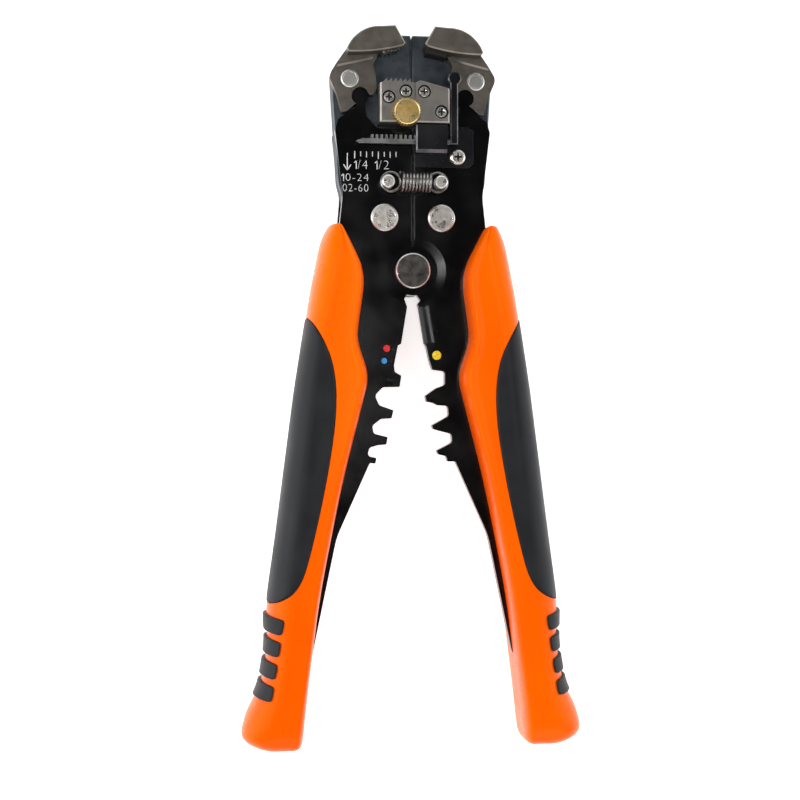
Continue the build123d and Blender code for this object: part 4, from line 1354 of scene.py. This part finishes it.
    def pad_prism(self) -> Piece:
        """The zone of the soft pad, open to the outer side."""
        return self.prism("pad_zone", (
            (62, -6.5), (38, -6.5), (30.6, -12.6), (26.0, -19.5), (22.7, -28.0), (22.2, -40.0), (24.6, -57.0),
            (28.9, -77.0), (32.2, -88.5), (37.5, -92.6), (44.0, -94.0), (62, -94.4),
        ), 3)

    def ridge_prism(self, index: int) -> Piece:
        """The zone of one finger ridge: a rounded bar set at a slant."""
        x = self.ridge_first[0] + self.ridge_step[0] * index
        y = self.ridge_first[1] + self.ridge_step[1] * index
        wide, tall = self.ridge_size[0] / 2, self.ridge_size[1] / 2
        turn = math.radians(self.ridge_turn)
        corners = ((-1, -0.55), (-0.93, -0.97), (-0.5, -1), (1.3, -1), (1.3, 1), (-0.5, 1), (-0.93, 0.97), (-1, 0.55))
        points = []
        for across, up in corners:
            px, py = across * wide, up * tall
            points.append((x + px * math.cos(turn) - py * math.sin(turn), y + px * math.sin(turn) + py * math.cos(turn)))
        return self.prism(f"ridge_zone_{index}", points, 3)

    def soften_rubber(self, piece: Piece, voxel: float) -> None:
        """Remesh a rubber piece evenly and relax it, which rounds its lips.

        Args:
            piece: the cut rubber piece.
            voxel: size of the new faces.
        """
        remesh = piece.modifiers.new("even", "REMESH")
        remesh.mode = "VOXEL"
        remesh.voxel_size = voxel
        relax = piece.modifiers.new("relax", "SMOOTH")
        relax.factor = 0.5
        relax.iterations = 5
        settle(piece, 60)


# ---------------------------------------------------------------------------------------------
# Studio
# ---------------------------------------------------------------------------------------------


@dataclass
class SoftBox:
    """A rectangular studio light that points at the tool."""

    name: str
    place: tuple[float, float, float]
    size: Point
    power: float

    def build(self, target: Vector) -> None:
        """Hang the light and aim it at the target."""
        data = bpy.data.lights.new(self.name, "AREA")
        data.shape = "RECTANGLE"
        data.size, data.size_y = self.size
        data.energy = self.power
        light = bpy.data.objects.new(self.name, data)
        light.location = self.place
        light.rotation_euler = (target - light.location).to_track_quat("-Z", "Y").to_euler()
        bpy.context.scene.collection.objects.link(light)


@dataclass
class Studio:
    """White sweep, soft boxes on both sides, and the camera above the tool."""

    eye: tuple[float, float, float] = (-57.0 * MM, -36.7 * MM, 432.5 * MM)
    window_centre: float = -3.7 * MM  # X of the picture's centre, off to the side of the eye
    window_width: float = 226.8 * MM
    sharp_plane: float = 12.5 * MM
    floor_reach: float = 3.0

    def build(self) -> None:
        """Floor, surroundings, lights and camera."""
        self.floor()
        self.surroundings()
        target = Vector((0, -0.03, 0.01))
        for box in (
            SoftBox("left_box", (-0.62, -0.05, 0.42), (0.5, 0.9), 3.8),
            SoftBox("right_box", (0.62, 0.0, 0.42), (0.5, 0.9), 2.4),
            SoftBox("far_box", (0.0, 0.7, 0.5), (0.9, 0.4), 2.2),
            SoftBox("near_box", (0.1, -0.75, 0.5), (0.9, 0.4), 1.6),
            SoftBox("top_strip", (-0.14, 0.07, 0.92), (0.07, 0.42), 1.0),
        ):
            box.build(target)
        self.camera()
        bpy.context.scene.view_settings.view_transform = "Standard"

    def floor(self) -> None:
        """A pale floor whose far edges curve up a little."""
        bpy.ops.mesh.primitive_grid_add(x_subdivisions=12, y_subdivisions=12, size=2 * self.floor_reach)
        floor = bpy.context.active_object
        floor.name = "floor"
        with editing(floor):
            edge = self.floor_reach * 0.9
            pick(floor, "verts", lambda v: max(abs(v.co.x), abs(v.co.y)) > edge)
            bpy.ops.transform.translate(value=(0, 0, 0.25))
        floor.location.z = -0.05 * MM
        settle(floor, 60)
        shader = Shader("studio_floor")
        shader.put(Roughness=0.75, Specular_IOR_Level=0.15, Emission_Color=(1.0, 1.0, 1.0), Emission_Strength=0.7)
        cloud = shader.ramp(shader.noise(0.4, 2), 0.3, 0.7)
        shader.wire(shader.colours(cloud, (0.93, 0.93, 0.93), (0.95, 0.95, 0.95)), "Base Color")
        floor.data.materials.append(shader.material)

    def surroundings(self) -> None:
        """A world that is bright round the horizon and dark overhead."""
        world = bpy.data.worlds.new("studio")
        bpy.context.scene.world = world
        world.use_nodes = True
        nodes, links = world.node_tree.nodes, world.node_tree.links
        direction = nodes.new("ShaderNodeTexCoord")
        parts = nodes.new("ShaderNodeSeparateXYZ")
        links.new(direction.outputs["Generated"], parts.inputs[0])
        ramp = nodes.new("ShaderNodeMapRange")
        ramp.inputs["From Min"].default_value = 0.3
        ramp.inputs["From Max"].default_value = 0.92
        ramp.inputs["To Min"].default_value = 0.62
        ramp.inputs["To Max"].default_value = 0.02
        links.new(parts.outputs["Z"], ramp.inputs["Value"])
        links.new(ramp.outputs["Result"], nodes["Background"].inputs["Strength"])
        nodes["Background"].inputs["Color"].default_value = (1, 1, 1, 1)

    def camera(self) -> None:
        """The camera stands a little to the left and looks down at the middle of the tool."""
        aside, drop = self.window_centre - self.eye[0], self.eye[2] - self.sharp_plane
        data = bpy.data.cameras.new("camera")
        data.angle = 2 * math.atan(self.window_width / 2 / math.hypot(aside, drop))
        data.clip_start, data.clip_end = 0.01, 20
        camera = bpy.data.objects.new("camera", data)
        camera.location = self.eye
        camera.rotation_euler.y = -math.atan2(aside, drop)
        bpy.context.scene.collection.objects.link(camera)
        bpy.context.scene.camera = camera


def write_sizes() -> None:
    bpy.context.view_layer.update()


def main() -> None:
    """Build every sub-assembly in order and report each piece."""
    logging.basicConfig(level=logging.INFO, format="%(name)s: %(message)s")
    for assembly in (
        Head(), Rivets(), AdjustingScrew(), Levers(), ScalePrint(), ReturnSpring(), LengthStop(), Handle(), Studio(),
    ):
        LOG.info("building %s", type(assembly).__name__)
        assembly.build()
    write_sizes()


if __name__ == "__main__":
    main()
